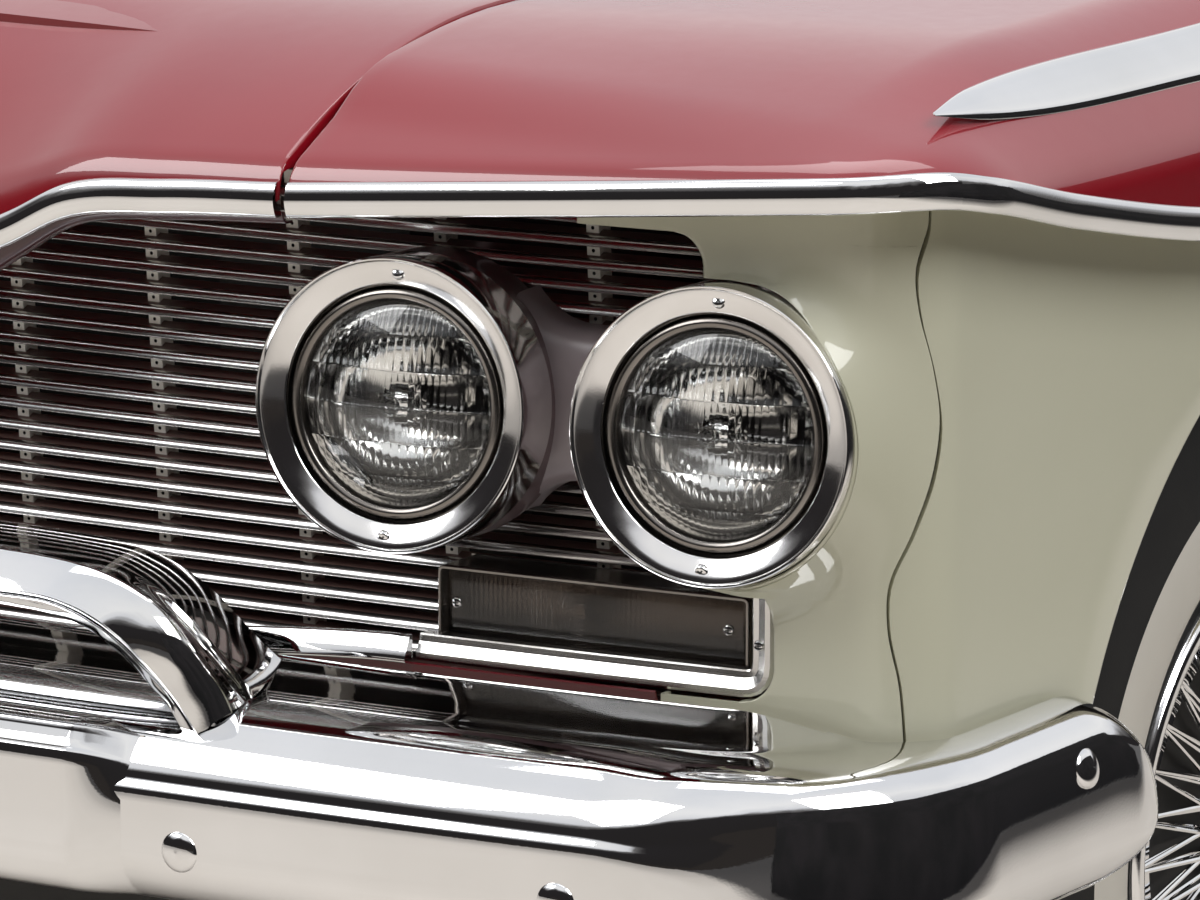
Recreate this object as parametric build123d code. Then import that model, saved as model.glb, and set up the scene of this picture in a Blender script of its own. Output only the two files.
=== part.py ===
"""Front end of a classic two-tone car: hood, fenders, grille, four lamps, bumper, rails, suspension and wheels.

Millimetres. +X is the car's left, -Y its front, +Z up. The origin is the middle of the plane where the two
frame rails bolt to the body, 463 mm above the road. The nose is bowed in plan: the brow, grille and bumper are
concentric arcs about one upright axis behind the car. "Behind" is a distance behind the brow's front arc.
"""
from build123d import *
from math import asin, cos, degrees, radians, sin, sqrt
import os

# Plan of the nose
BOW_R = 5740.0               # plan radius of the brow's front
NOSE_Y = -1331.0             # front of the brow on the centre line
BOW_Y = NOSE_Y + BOW_R       # the bow's upright axis
SIDE_X = 985.0               # outer face of the upper fender
CORNER_R = 85.0              # plan radius of the fender's front corner
WHITE_IN = 38.0              # the lower fender side stands this far inside the upper one
FACE_IN = 40.0               # the lamp surround stands this far behind the brow
FACE_R = 55.0                # plan radius of the surround's outer corner
SHEET = 5.0                  # panel thickness, flanges included
SEAM_X = 530.0               # middle of the gap between hood and fender
SEAM_GAP = 7.0
FIT = 0.3                    # gap between pieces that only rest on each other
FAR = 3000.0                 # farther out than any piece, for trims
CHEEK_X = SIDE_X - 285.0     # trims drawn from the side start here
OVER = 50.0                  # forms run this far past the rear plane before they are trimmed

# Heights of the upper body
LIP_Z = 398.0                # middle of the brow's bright lip beside the hood
LIP_H = 23.0
LIP_T = 12.0                 # how deep the lip mouldings are
LIP_PROUD = 5.0              # how far they stand off the panel
LIP_RISE = 0.0805            # slope of the lip outwards
LIP_IN = 105.0               # the fender closes behind the lip from here to the side
DIP_Z = 326.0                # middle of the lip at the car's centre
PLUMB_Z = 431.0              # the upper side is plumb below this height
ROLL_Z, ROLL_IN = 452.0, 20.0
SHOULDER_Z, SHOULDER_IN = 490.0, 55.0
CREST_Z, CREST_IN = 513.0, 117.0
SEAM_TOP_Z = 500.0           # top of the body at the hood's seam
HOOD_MID_Z = 514.0           # hood top on the centre line
TOP_Z = 496.0                # top of the nose curve
TOP_RISE = 24.0              # rise of the nose's form from there to the rear
NOSE_R1 = 30.0               # the nose's small and large arcs, and the angle where they meet
NOSE_R2 = 494.0
NOSE_TURN = 60.0
SWEEP = ((-1400, 434), (-1219, 431.5), (-1085, 402), (-928, 371.5), (-760, 350), (-560, 342), (0, 330))
SILL_Z = -190.0              # bottom of the fender behind the wheel
APRON_LOW_Z = -45.0          # bottom of the fender ahead of the wheel
BASE_Z = SILL_Z - 100.0      # forms start here before they are trimmed

# Wheel and suspension
AXLE_Y = -570.0
AXLE_Z = -120.0
TRACK_HALF = SIDE_X - 212.0
TYRE_R = 343.0
TYRE_W = 196.0
RIM_R = 184.0
RIM_HALF_W = 78.0
ARCH_Y = AXLE_Y - 30.0
ARCH_R = TYRE_R + 85.0
KING_LOW = (TRACK_HALF - 83.0, AXLE_Y, AXLE_Z - 102.0)
KING_TOP = (TRACK_HALF - 105.0, AXLE_Y, AXLE_Z + 132.0)
KING_ROD_R = 15.0
RAIL_X = 430.0
RAIL_W = 74.0
RAIL_TOP_Z = -80.0
RAIL_H = 112.0
RAIL_T = 4.0
RAIL_FRONT_Y = -1200.0
PLATE_W = 140.0              # bolted plate at each rail's rear
PLATE_OVER = 30.0            # how far it stands above and below the rail
PLATE_T = 10.0
BOLT_DX, BOLT_DZ, BOLT_R = 52.0, 66.0, 6.5
APRON_X = 484.0              # inner wall of the wheelhouse
APRON_T = 3.0
FLANGE_Z = 430.3             # underside of the fender's inner ledge
LEDGE_W = 32.0

# Lamps
LAMP_Z = 270.0
LAMP_X = (SIDE_X - 385.0, SIDE_X - 162.0)
LAMP_FACE = 8.0              # bezel front behind the brow's front
LAMP_SWEEP = 9.0
LAMP_LEAN = 4.0
BEZEL_R = 95.0
BEZEL_HOLE_R = 77.0
BEZEL_DEPTH = 44.0
BEZEL_DISH = 8.5             # its face slopes this far back to the hole
BEZEL_FRONT_T = 3.0
BEZEL_WALL = 2.1
POD_R = BEZEL_R - BEZEL_WALL - FIT
POD_T = 4.0
POD_LENGTH = 76.0            # bezel front to the pod's rear
LAMP_GAP = 1.2               # around the bezel in the surround
RING_BACK = 17.0             # rear of the retaining ring's flange
LENS_R = 66.0                # lens seen inside its ring
LENS_RIM = 4.0
LENS_T = 3.0
LENS_DOME = 18.0             # rise of its front over the whole rim
BOWL_DEPTH = 51.4
WEB_HALF = 50.0              # half height of the web between two lamps
WEB_BACK = 10.0              # how far behind the bezels it starts

# Grille
GRILLE_IN = 105.0            # bar fronts behind the brow's front at mid height
GRILLE_MID_Z = 240.0
GRILLE_LEAN = 0.056
BAR_COUNT = 22
BAR_PITCH = 14.9
BAR_LOW_Z = 71.8
BAR_DEPTH = 12.0
BAR_T = 4.0                  # bright front edge
BAR_RISE = 6.0               # each blade rises this much to its rear
BLADE_T = 1.8
OPEN_HALF = SIDE_X - 186.0   # grille opening in the surround
OPEN_TOP_Z = 392.0
OPEN_LOW_Z = 132.0
OPEN_R = 22.0
GRILLE_HALF = OPEN_HALF + 9.0
POST_FIRST = 22.0
POST_PITCH = 110.5
POST_COUNT = 7
POST_W = 9.0
POST_DEPTH = 14.0
PAN_Z = 31.0                 # top of the pan behind the bumper
SUPPORT_Y = -1105.0          # front of the radiator support

# Parking lamps and lower mouldings
LOW_LINE = ((0, 60), (190, 62), (279, 72), (360, 85), (485, 98.5), (579, 104.5), (900, 104.5))
LOW_HALF_H = 8.5
LOW_END_X = 578.5
PARK_X1 = SIDE_X - 161.0
PARK_X0 = PARK_X1 - 222.0
PARK_Z0, PARK_Z1 = 108.5, 159.0
TRAY_T = 3.0
TRAY_IN = 60.0               # tray front behind the brow
TRAY_DEPTH = 38.0
STRIP_Z0 = LOW_LINE[-1][1] - LOW_HALF_H
STRIP_Z1 = PARK_Z1 + 4.0
STRIP_W = 20.0
STRIP_END_X = PARK_X1 + 23.0
STRIP_IN = 46.0
STRIP_R = 22.0
SHIELD_HALF = SIDE_X - 215.0
SURROUND_IN_X = SIDE_X - 273.0

# Bumper
BUMPER_OUT = 100.0           # its lower face stands this far ahead of the brow
BUMPER_SIDE_X = SIDE_X + 9.0
BUMPER_CORNER_R = 185.0
BUMPER_END_Y = -969.0
END_TOP_R = 72.0             # rounding of the bumper's end, seen from the side
END_LOW_R = 44.0
BUMPER_T = 4.0
DECK_Z = 88.0
DECK_DROP = 8.0              # the deck falls this much to the nose
DECK_REAR_IN = 33.0          # deck's rear edge behind the brow's front
NOSE_ARC = 70.0
LOW_ARC = 40.0
BUMPER_LOW_Z = -52.0
CREASE_Z = 32.0
CREASE_H = 3.0
PAD_HALF = 464.0
PAD_PROUD = 9.0
PAD_TOP_Z = CREASE_Z + 30.0
PAD_LOW_Z = BUMPER_LOW_Z + 6.0
GUARD_TOP_Z = DECK_Z + 84.0
GUARD_OUT = 107.0            # guard's front ahead of the brow
GUARD_HALF = 572.0           # outer edge of its foot at the front
GUARD_T = 4.0
GUARD_BAND = 35.0            # height of its front face
# Its top: distance in from the foot at front and rear, then distance below the top at front and rear
GUARD_LINE = ((114, 203, 0, 4), (55, 147, 9, 9), (29, 114, 39, 32), (11, 80, 58, 58), (1, 54, 70, 74))
GUARD_INNER = ((145, 35), (112, 41), (91, 53), (72, 72), (52, 98))

# Hood hinge
HINGE_Y = -60.0
HINGE_Z = 464.0
HINGE_X = 466.0
HOOD_REAR_Y = -24.0
PIN_R = 6.0

BOW = Axis((0, BOW_Y, 0), (0, 0, 1))


def bow_y(x, behind):
    """Y at X on the arc that stands this far behind the brow's front."""
    r = BOW_R - behind
    return BOW_Y - sqrt(r * r - x * x)


def bow_angle(x, behind=0.0):
    return degrees(asin(x / (BOW_R - behind)))


def bowed(face, x0, x1, behind=0.0):
    """Turns a YZ section about the bow's axis; its ends lie at x0 and x1 on the arc that far behind the brow."""
    start = bow_angle(x0, behind)
    return revolve(face.rotate(BOW, start), BOW, revolution_arc=bow_angle(x1, behind) - start)


def yz_poly(*points):
    return Plane.YZ * make_face(Polyline(*points, close=True))


def behind_poly(*points):
    """A YZ section on the centre line from (behind, z) points."""
    return yz_poly(*[(NOSE_Y + b, z) for b, z in points])


def xz_prism(face, y0, y1):
    """Extrudes a sketch drawn as (x, z) from y0 to y1."""
    return extrude(Plane((0, y0, 0), x_dir=(1, 0, 0), z_dir=(0, -1, 0)) * face, -(y1 - y0))


def yz_prism(face, x0, x1):
    """Extrudes a sketch drawn as (y, z) from x0 to x1."""
    return extrude(Plane((x0, 0, 0), x_dir=(0, 1, 0), z_dir=(1, 0, 0)) * face, x1 - x0)


def xy_prism(face, z0, z1):
    return extrude(Pos(0, 0, z0) * face, z1 - z0)


def poly(*points):
    return make_face(Polyline(*points, close=True))


def block(x0, x1, y0, y1, z0, z1):
    return Pos((x0 + x1) / 2, (y0 + y1) / 2, (z0 + z1) / 2) * Box(abs(x1 - x0), abs(y1 - y0), abs(z1 - z0))


def rod(p, q, radius):
    p, q = Vector(*p), Vector(*q)
    return extrude(Plane(p, z_dir=q - p) * Circle(radius), (q - p).length)


def disc_x(x0, x1, radius, y=AXLE_Y, z=AXLE_Z):
    return rod((x0, y, z), (x1, y, z), radius)


def lathe_x(points, y=AXLE_Y, z=AXLE_Z):
    """Turns (x, radius) points about the wheel's axis."""
    face = Plane.XY * make_face(Polyline(*points, close=True))
    return Pos(0, y, z) * revolve(face, Axis.X)


def mirrored(shape):
    return mirror(shape, about=Plane.YZ)


def largest(shape):
    return shape.solids().sort_by(SortBy.VOLUME)[-1]


def group(*shapes):
    """Separate solids under one node."""
    return Compound(children=[s for shape in shapes for s in shape.solids()])


def both(*shapes):
    """The left pieces and their right-hand twins under one node."""
    return group(*shapes, *[mirrored(s) for s in shapes])


def plan_edges(front_in, side_in, corner_r):
    """Half plan outline: bowed front, rounded corner, straight side, from the centre line to Y = 0."""
    r = BOW_R - front_in
    side = SIDE_X - side_in
    cx = side - corner_r
    cy = BOW_Y - sqrt((r - corner_r) ** 2 - cx * cx)
    turn = asin(cx / (r - corner_r))
    half = turn / 2
    t1 = (cx + corner_r * sin(turn), cy - corner_r * cos(turn))
    mid = turn + (radians(90) - turn) / 2
    tm = (cx + corner_r * sin(mid), cy - corner_r * cos(mid))
    front = ThreePointArc((0, BOW_Y - r), (r * sin(half), BOW_Y - r * cos(half)), t1)
    corner = ThreePointArc(t1, tm, (side, cy))
    return front, corner, (side, cy)


def plan(front_in, side_in, corner_r, rear_y=0.0):
    front, corner, end = plan_edges(front_in, side_in, corner_r)
    return make_face([front, corner, Line(end, (end[0], rear_y)), Line((end[0], rear_y), (0, rear_y)),
                      Line((0, rear_y), front @ 0)])


def lip_z(x):
    """Middle height of the brow's lip from the seam outwards."""
    return LIP_Z + (x - SEAM_X) * LIP_RISE


DIP = ((0, DIP_Z), (190, DIP_Z), (260, DIP_Z + 12), (320, DIP_Z + 36), (366, DIP_Z + 58), (441, DIP_Z + 67),
       (SEAM_X, LIP_Z))


def lip_points(shift):
    """The lip's middle line moved up by shift, from the centre line to past the corner."""
    return [(x, z + shift) for x, z in DIP] + [(FAR, lip_z(FAR) + shift)]


def sweep_points(shift):
    return [(y, z + shift) for y, z in SWEEP]


def top_face(inset):
    """Front view of the upper body, half."""
    d = inset
    crest_x = SIDE_X - CREST_IN
    hood_mid = (SEAM_X / 2, HOOD_MID_Z - (HOOD_MID_Z - SEAM_TOP_Z) / 4 - d)
    fender_mid = ((SEAM_X + crest_x) / 2, CREST_Z - (CREST_Z - SEAM_TOP_Z) / 4 - d)
    seam = (SEAM_X, SEAM_TOP_Z - d)
    crest = (crest_x, CREST_Z - d)
    roll = (SIDE_X - ROLL_IN - d, ROLL_Z)
    return make_face([
        Line((0, BASE_Z), (0, HOOD_MID_Z - d)),
        ThreePointArc((0, HOOD_MID_Z - d), hood_mid, seam),
        ThreePointArc(seam, fender_mid, crest),
        ThreePointArc(crest, (SIDE_X - SHOULDER_IN - d * 0.7, SHOULDER_Z - d * 0.7), roll),
        Line(roll, (SIDE_X - d, PLUMB_Z)),
        Line((SIDE_X - d, PLUMB_Z), (SIDE_X - d, BASE_Z)),
        Line((SIDE_X - d, BASE_Z), (0, BASE_Z)),
    ])


def nose_face(inset):
    """Side view on the centre line: upright front, two arcs, gently rising top."""
    d = inset
    turn = radians(NOSE_TURN)
    base = TOP_Z - NOSE_R1 * sin(turn) - NOSE_R2 * (1 - sin(turn))
    c1 = (NOSE_Y + NOSE_R1, base)
    run = NOSE_R1 * (1 - cos(turn)) + NOSE_R2 * cos(turn)
    c2 = (NOSE_Y + run, TOP_Z - NOSE_R2)

    def on(c, r, deg):
        return (c[0] - r * cos(radians(deg)), c[1] + r * sin(radians(deg)))

    a = (NOSE_Y + d, base)
    b = on(c1, NOSE_R1 - d, NOSE_TURN)
    c = on(c2, NOSE_R2 - d, 90)
    end = (-NOSE_Y / 3, TOP_Z + TOP_RISE - d)
    return Plane.YZ * make_face([
        Line((NOSE_Y + d, BASE_Z), a),
        ThreePointArc(a, on(c1, NOSE_R1 - d, NOSE_TURN / 2), b),
        ThreePointArc(b, on(c2, NOSE_R2 - d, (NOSE_TURN + 90) / 2), c),
        Line(c, end),
        Line(end, (end[0], BASE_Z)),
        Line((end[0], BASE_Z), (NOSE_Y + d, BASE_Z)),
    ])


def under_line(shift):
    """Front view of everything under the lip's middle line moved up by shift."""
    return poly(*lip_points(shift), (FAR, -FAR), (0, -FAR))


def over_line(shift):
    return poly(*lip_points(shift), (FAR, FAR), (0, FAR))


def below_lip(shift):
    """Everything under the lip's middle line and the side sweep, moved up by shift."""
    side = poly(*sweep_points(shift), (0, -FAR), (SWEEP[0][0], -FAR))
    return xz_prism(under_line(shift), -FAR, SWEEP[1][0]) + yz_prism(side, CHEEK_X, FAR)


def volume(inset):
    """Half of the nose's outer form, or of its inner form when inset."""
    upper = xy_prism(plan(inset, inset, CORNER_R - inset, OVER), BASE_Z, FAR)
    upper = upper & xz_prism(top_face(inset), -FAR, OVER) & bowed(nose_face(inset), -20, SIDE_X * 1.5)
    lower = xy_prism(plan(FACE_IN + inset, WHITE_IN + inset, FACE_R - inset, OVER), BASE_Z, FAR)
    return (upper - below_lip(inset)) + (lower & upper)


outer = volume(0)
inner = volume(SHEET)
shell = (outer - inner) & block(0, FAR, -FAR, 0, BASE_Z, FAR)

# The lamp surround's seam, seen from the side, and the region ahead of it
SEAM_LINE = ((-1192, 440), (-1192, 408), (-1199, 377), (-1197, 350), (-1188, 313), (-1183, 281), (-1187, 250),
             (-1199, 213), (-1209, 182), (-1210, 150), (-1205, 110), (-1200, -60))


def ahead(shift):
    line = [(y + shift, z) for y, z in SEAM_LINE]
    return yz_prism(poly(*line, (-FAR, SEAM_LINE[-1][1]), (-FAR, SEAM_LINE[0][1])), CHEEK_X, FAR)


def lamp_place(x):
    """Turns a lamp built facing -Y about its bezel's front centre into place."""
    return Pos(x, bow_y(x, LAMP_FACE), LAMP_Z) * Rot(0, 0, LAMP_SWEEP) * Rot(-LAMP_LEAN, 0, 0)


def lathe_y(*edges):
    """Turns edges drawn as (radius, y) about the lamp's axis."""
    return revolve(make_face(edges), Axis.Y)


def lathe_poly(*points):
    return revolve(make_face(Polyline(*points, close=True)), Axis.Y)


places = [lamp_place(x) for x in LAMP_X]

# Fender
seam_in = SEAM_X + SEAM_GAP / 2
nose_rear_y = SWEEP[2][0] - 15
wheel_cut = disc_x(CHEEK_X, FAR, ARCH_R, ARCH_Y)
low_cut = block(CHEEK_X, FAR, -FAR, ARCH_Y, -FAR, APRON_LOW_Z) + block(CHEEK_X, FAR, ARCH_Y, FAR, -FAR, SILL_Z)
under_lip = xz_prism(under_line(0), -FAR, nose_rear_y)
fender = shell & block(seam_in, FAR, -FAR, 0, -FAR, FAR)
fender = fender - (under_lip & (ahead(FIT) + block(0, SIDE_X - LIP_IN, -FAR, nose_rear_y, -FAR, FAR)))
flange = inner & block(seam_in, seam_in + SHEET, NOSE_Y + 9, 0, FLANGE_Z, FAR)
flange = flange - below_lip(0)
ledge = block(seam_in, seam_in + LEDGE_W, SUPPORT_Y - 45, 0, FLANGE_Z, FLANGE_Z + SHEET)
fender = largest(fender + flange + ledge - wheel_cut - low_cut)

# Lamp surround
lamp_hole = places[1] * Pos(0, 100, 0) * Rot(90, 0, 0) * Cylinder(BEZEL_R + LAMP_GAP, 400)
open_mid = (OPEN_TOP_Z + OPEN_LOW_Z) / 2
surround = (shell & ahead(0)) - xz_prism(over_line(0), -FAR, SUPPORT_Y)
opening = RectangleRounded(2 * OPEN_HALF, OPEN_TOP_Z - OPEN_LOW_Z, OPEN_R)
surround = surround - xz_prism(Pos(0, open_mid) * opening, -FAR, SUPPORT_Y)
surround = surround - block(0, SURROUND_IN_X, -FAR, 0, -FAR, FAR)
surround = surround - block(0, STRIP_END_X + 1, -FAR, 0, STRIP_Z0 - 5, STRIP_Z1 + 3)
surround = surround - block(0, SHIELD_HALF + 2, -FAR, 0, -FAR, STRIP_Z0 - 4) - low_cut
surround = largest(surround - lamp_hole)

# Hood skin with its side flanges
hood_out = SEAM_X - SEAM_GAP / 2
hood = (shell & block(0, hood_out, -FAR, HOOD_REAR_Y, -FAR, FAR)) - under_lip
side_wall = inner & block(hood_out - SHEET, hood_out, NOSE_Y + 9, HOOD_REAR_Y, SEAM_TOP_Z - 25, FAR)
hood_half = hood + (side_wall - below_lip(0))
hood = hood_half + mirrored(hood_half)

# Ribs under the hood skin: x0, x1, y0, y1
RIBS = ((0, 500, -1180, -1110), (0, 500, -190, -130), (240, 290, -1140, -160), (460, 500, -1180, -130))
RIB_DEPTH = 9.0
rib_space = volume(SHEET + FIT)
ribs = block(*RIBS[0], 400, FAR)
for rib in RIBS[1:]:
    ribs = ribs + block(*rib, 400, FAR)
rib_half = (ribs & rib_space) - volume(SHEET + FIT + RIB_DEPTH)
hood_frame = rib_half + mirrored(rib_half)

# Bright mouldings along the brow and the side
skin = volume(-FIT)
proud = xy_prism(plan(-LIP_PROUD, -LIP_PROUD, CORNER_R + LIP_PROUD, 0), 0, FAR)
proud = proud - xy_prism(plan(LIP_T - LIP_PROUD, LIP_T - LIP_PROUD, CORNER_R - LIP_T + LIP_PROUD, 10), 0, FAR)
lip_strip = xz_prism(poly(*lip_points(-LIP_H / 2), *reversed(lip_points(LIP_H / 2))), -FAR, SWEEP[1][0])
lip = (proud & lip_strip) - skin
hood_lip = lip & block(0, hood_out - 0.5, -FAR, 0, 0, FAR)
hood_lip = hood_lip + mirrored(hood_lip)
brow = lip & block(seam_in + 0.5, FAR, -FAR, SWEEP[1][0], 0, FAR)
side_strip = yz_prism(poly(*sweep_points(LIP_H / 2), *reversed(sweep_points(-LIP_H / 2))), CHEEK_X, FAR)
side_strip = side_strip & block(CHEEK_X, FAR, SWEEP[1][0] + 1, 0, 0, FAR)
side_lip = largest((proud & side_strip) - skin)
SPEAR = ((-1205, 469), (-1120, 480), (-850, 484), (-400, 489), (-4, 491), (-4, 449), (-400, 451), (-850, 455),
         (-1120, 463))
spear = largest((volume(-6) & yz_prism(poly(*SPEAR), SIDE_X - LIP_IN, FAR)) - skin)

# Lamps
lens_rim_r = LENS_R + LENS_RIM
lens_back = LENS_DOME * (1 - (LENS_R / lens_rim_r) ** 2)     # the dome's drop outside the ring's edge
seat_y = RING_BACK + 1.0
hole_rear = BEZEL_DISH + BEZEL_FRONT_T
bezel = lathe_poly((BEZEL_HOLE_R, BEZEL_DISH), (BEZEL_R - 3, 1), (BEZEL_R - 2, 0), (BEZEL_R, 2),
                   (BEZEL_R, BEZEL_DEPTH), (POD_R + FIT, BEZEL_DEPTH), (POD_R + FIT, hole_rear),
                   (BEZEL_HOLE_R, hole_rear))
pod = lathe_poly((POD_R - POD_T, RING_BACK), (POD_R, RING_BACK), (POD_R, POD_LENGTH),
                 (POD_R - POD_T, POD_LENGTH))
ring_low = hole_rear + FIT
ring_front = BEZEL_DISH + 1
ring = lathe_poly((LENS_R, seat_y), (LENS_R + 0.5, ring_low), (LENS_R + 2.5, ring_front), (LENS_R + 6, ring_front),
                  (LENS_R + 8.5, ring_low), (POD_R - FIT, ring_low), (POD_R - FIT, RING_BACK - FIT),
                  (LENS_R + 10, RING_BACK - FIT), (LENS_R + 10, seat_y))
lens_back_y = seat_y + FIT
half_r = lens_rim_r / 2
half_y = lens_back_y - LENS_DOME * 0.76
lens = lathe_y(Line((0, lens_back_y - LENS_DOME - FIT), (3, lens_back_y - LENS_DOME - FIT)),
               ThreePointArc((3, lens_back_y - LENS_DOME - FIT), (half_r, half_y), (lens_rim_r, lens_back_y)),
               Line((lens_rim_r, lens_back_y), (lens_rim_r, lens_back_y + LENS_T)),
               ThreePointArc((lens_rim_r, lens_back_y + LENS_T), (half_r, half_y + LENS_T),
                             (3, lens_back_y - LENS_DOME - FIT + LENS_T)),
               Line((3, lens_back_y - LENS_DOME - FIT + LENS_T), (0, lens_back_y - LENS_DOME - FIT + LENS_T)),
               Line((0, lens_back_y - LENS_DOME - FIT + LENS_T), (0, lens_back_y - LENS_DOME - FIT)))
bowl_y = lens_back_y + LENS_T + FIT
bowl_rear = bowl_y + BOWL_DEPTH
bowl = lathe_y(ThreePointArc((lens_rim_r, bowl_y), (lens_rim_r - 16, bowl_rear - 18), (14, bowl_rear)),
               Line((14, bowl_rear), (0, bowl_rear)), Line((0, bowl_rear), (0, bowl_rear - 3)),
               Line((0, bowl_rear - 3), (14, bowl_rear - 3)),
               ThreePointArc((14, bowl_rear - 3), (lens_rim_r - 19, bowl_rear - 20), (lens_rim_r - 4, bowl_y)),
               Line((lens_rim_r - 4, bowl_y), (lens_rim_r, bowl_y)))
web_rear_in = GRILLE_IN + (GRILLE_MID_Z - LAMP_Z - WEB_HALF) * GRILLE_LEAN - FIT
web = block(*LAMP_X, -FAR, 0, LAMP_Z - WEB_HALF, LAMP_Z + WEB_HALF)
web = web & xy_prism(plan(LAMP_FACE + BEZEL_DEPTH + WEB_BACK, 0, CORNER_R), 0, FAR)
web = web - xy_prism(plan(web_rear_in, 0, CORNER_R), 0, FAR)
for place in places:
    web = web - place * Pos(0, 60, 0) * Rot(90, 0, 0) * Cylinder(POD_R + FIT, 400)
web = largest(web)


def grille_front(z):
    """How far behind the brow the bars' fronts lie at a height."""
    return GRILLE_IN + (GRILLE_MID_Z - z) * GRILLE_LEAN


# Grille
bars = []
for i in range(BAR_COUNT):
    z = BAR_LOW_Z + i * BAR_PITCH
    front = grille_front(z)
    section = behind_poly((front, z - BAR_T / 2), (front + 1.5, z - BAR_T / 2),
                          (front + BAR_DEPTH, z + BAR_RISE - BLADE_T), (front + BAR_DEPTH, z + BAR_RISE),
                          (front + 1.5, z + BAR_T / 2), (front, z + BAR_T / 2 - 1))
    bars.append(bowed(section, -GRILLE_HALF, GRILLE_HALF, GRILLE_IN))
grille_bars = group(*bars)
head_z = BAR_LOW_Z + BAR_COUNT * BAR_PITCH
bar_rear = BAR_DEPTH + BAR_RISE * GRILLE_LEAN + FIT
post_low = grille_front(PAN_Z) + bar_rear
post_high = grille_front(head_z) + bar_rear
post_face = behind_poly((post_low, PAN_Z + FIT), (post_low + POST_DEPTH, PAN_Z + FIT),
                        (post_high + POST_DEPTH, head_z - FIT), (post_high, head_z - FIT))
posts = []
for i in range(POST_COUNT):
    x = POST_FIRST + POST_PITCH * i
    posts.append(bowed(post_face, x - POST_W / 2, x + POST_W / 2, GRILLE_IN))
grille_posts = both(*posts)
grille_head = bowed(behind_poly((post_high - 8, head_z), (post_high + POST_DEPTH + 4, head_z),
                                (post_high + POST_DEPTH + 4, head_z + 4), (post_high - 8, head_z + 4)),
                    -OPEN_HALF + 19, OPEN_HALF - 19)


def bowed_box(behind0, behind1, x0, x1, z0, z1):
    return bowed(behind_poly((behind0, z0), (behind1, z0), (behind1, z1), (behind0, z1)), x0, x1, behind0)


def low_points(shift):
    return [(x, z + shift) for x, z in LOW_LINE]


# Lower grille moulding and parking lamps
low_strip = xz_prism(poly(*low_points(-LOW_HALF_H), *reversed(low_points(LOW_HALF_H))), -FAR, 0)
low_half = bowed_box(STRIP_IN - 12, STRIP_IN, 0, LOW_END_X, 0, 200) & low_strip
low_moulding = low_half + mirrored(low_half)
strip_over = 60.0
strip_top = STRIP_Z1 + strip_over
strip_low = LOW_END_X - strip_over
band = 2 * LOW_HALF_H
strip_outer = (Pos((strip_low + STRIP_END_X) / 2, (STRIP_Z0 + strip_top) / 2)
               * RectangleRounded(STRIP_END_X - strip_low, strip_top - STRIP_Z0, STRIP_R))
strip_inner = (Pos((strip_low + STRIP_END_X) / 2 - STRIP_W, (STRIP_Z0 + strip_top) / 2 + band)
               * RectangleRounded(STRIP_END_X - strip_low, strip_top - STRIP_Z0, STRIP_R - 10))
park_moulding = bowed_box(STRIP_IN, TRAY_IN - FIT, LOW_END_X + 1, SIDE_X, 0, STRIP_Z1)
park_moulding = largest(park_moulding & xz_prism(strip_outer - strip_inner, -FAR, 0))
tray = bowed_box(TRAY_IN, TRAY_IN + TRAY_DEPTH, PARK_X0, PARK_X1, PARK_Z0, PARK_Z1)
tray = tray - bowed_box(TRAY_IN - 2, TRAY_IN + TRAY_DEPTH - TRAY_T, PARK_X0 + TRAY_T, PARK_X1 - TRAY_T,
                        PARK_Z0 + TRAY_T, PARK_Z1 - TRAY_T)
lens_gap = TRAY_T + FIT
park_lens = bowed_box(TRAY_IN + 4, TRAY_IN + 10, PARK_X0 + lens_gap + 0.7, PARK_X1 - lens_gap - 1.7,
                      PARK_Z0 + lens_gap, PARK_Z1 - lens_gap)
park_mid_x = (PARK_X0 + PARK_X1) / 2 - 8
park_mid_z = (PARK_Z0 + PARK_Z1) / 2
park_back = bowed_box(TRAY_IN + 10 + FIT, TRAY_IN + TRAY_DEPTH - TRAY_T - FIT, park_mid_x - 12, park_mid_x + 12,
                      park_mid_z - 12, park_mid_z + 12)

# Stone shield with the pan behind it
shield_half = bowed(behind_poly((STRIP_IN - 8, 110), (STRIP_IN - 5, 110), (STRIP_IN + 18, PAN_Z),
                                (STRIP_IN + 15, PAN_Z)), 0, SHIELD_HALF)
shield_half = shield_half & xz_prism(poly(*low_points(-LOW_HALF_H - FIT), (FAR, -100), (0, -100)), -FAR, 0)
pan_rear = SUPPORT_Y - 1
pan = xy_prism(plan(STRIP_IN + 15, 0, CORNER_R, pan_rear), PAN_Z - 3, PAN_Z)
pan = pan & block(0, SHIELD_HALF, -FAR, pan_rear, 0, PAN_Z)
shield_half = shield_half + pan
stone_shield = shield_half + mirrored(shield_half)


# Bumper: one section wrapped round the nose
def bumper_outline(t):
    """Outer line of the section moved inwards by t, as edges from the deck to the lower lip."""
    c = (NOSE_ARC, DECK_Z - DECK_DROP - NOSE_ARC)
    r = NOSE_ARC - t
    drop = CREASE_Z + CREASE_H - c[1]
    reach = sqrt(r * r - drop * drop)
    mid = radians(62)
    b = (LOW_ARC, BUMPER_LOW_Z + LOW_ARC)
    q = LOW_ARC - t
    rear = BUMPER_OUT + DECK_REAR_IN
    return [
        Line((rear, DECK_Z - t), (c[0], c[1] + r)),
        ThreePointArc((c[0], c[1] + r), (c[0] - r * cos(mid), c[1] + r * sin(mid)),
                      (c[0] - reach, CREASE_Z + CREASE_H)),
        Line((c[0] - reach, CREASE_Z + CREASE_H), (t, CREASE_Z - CREASE_H)),
        Line((t, CREASE_Z - CREASE_H), (t, b[1])),
        ThreePointArc((t, b[1]), (b[0] - q * cos(radians(45)), b[1] - q * sin(radians(45))), (b[0], b[1] - q)),
    ]


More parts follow.
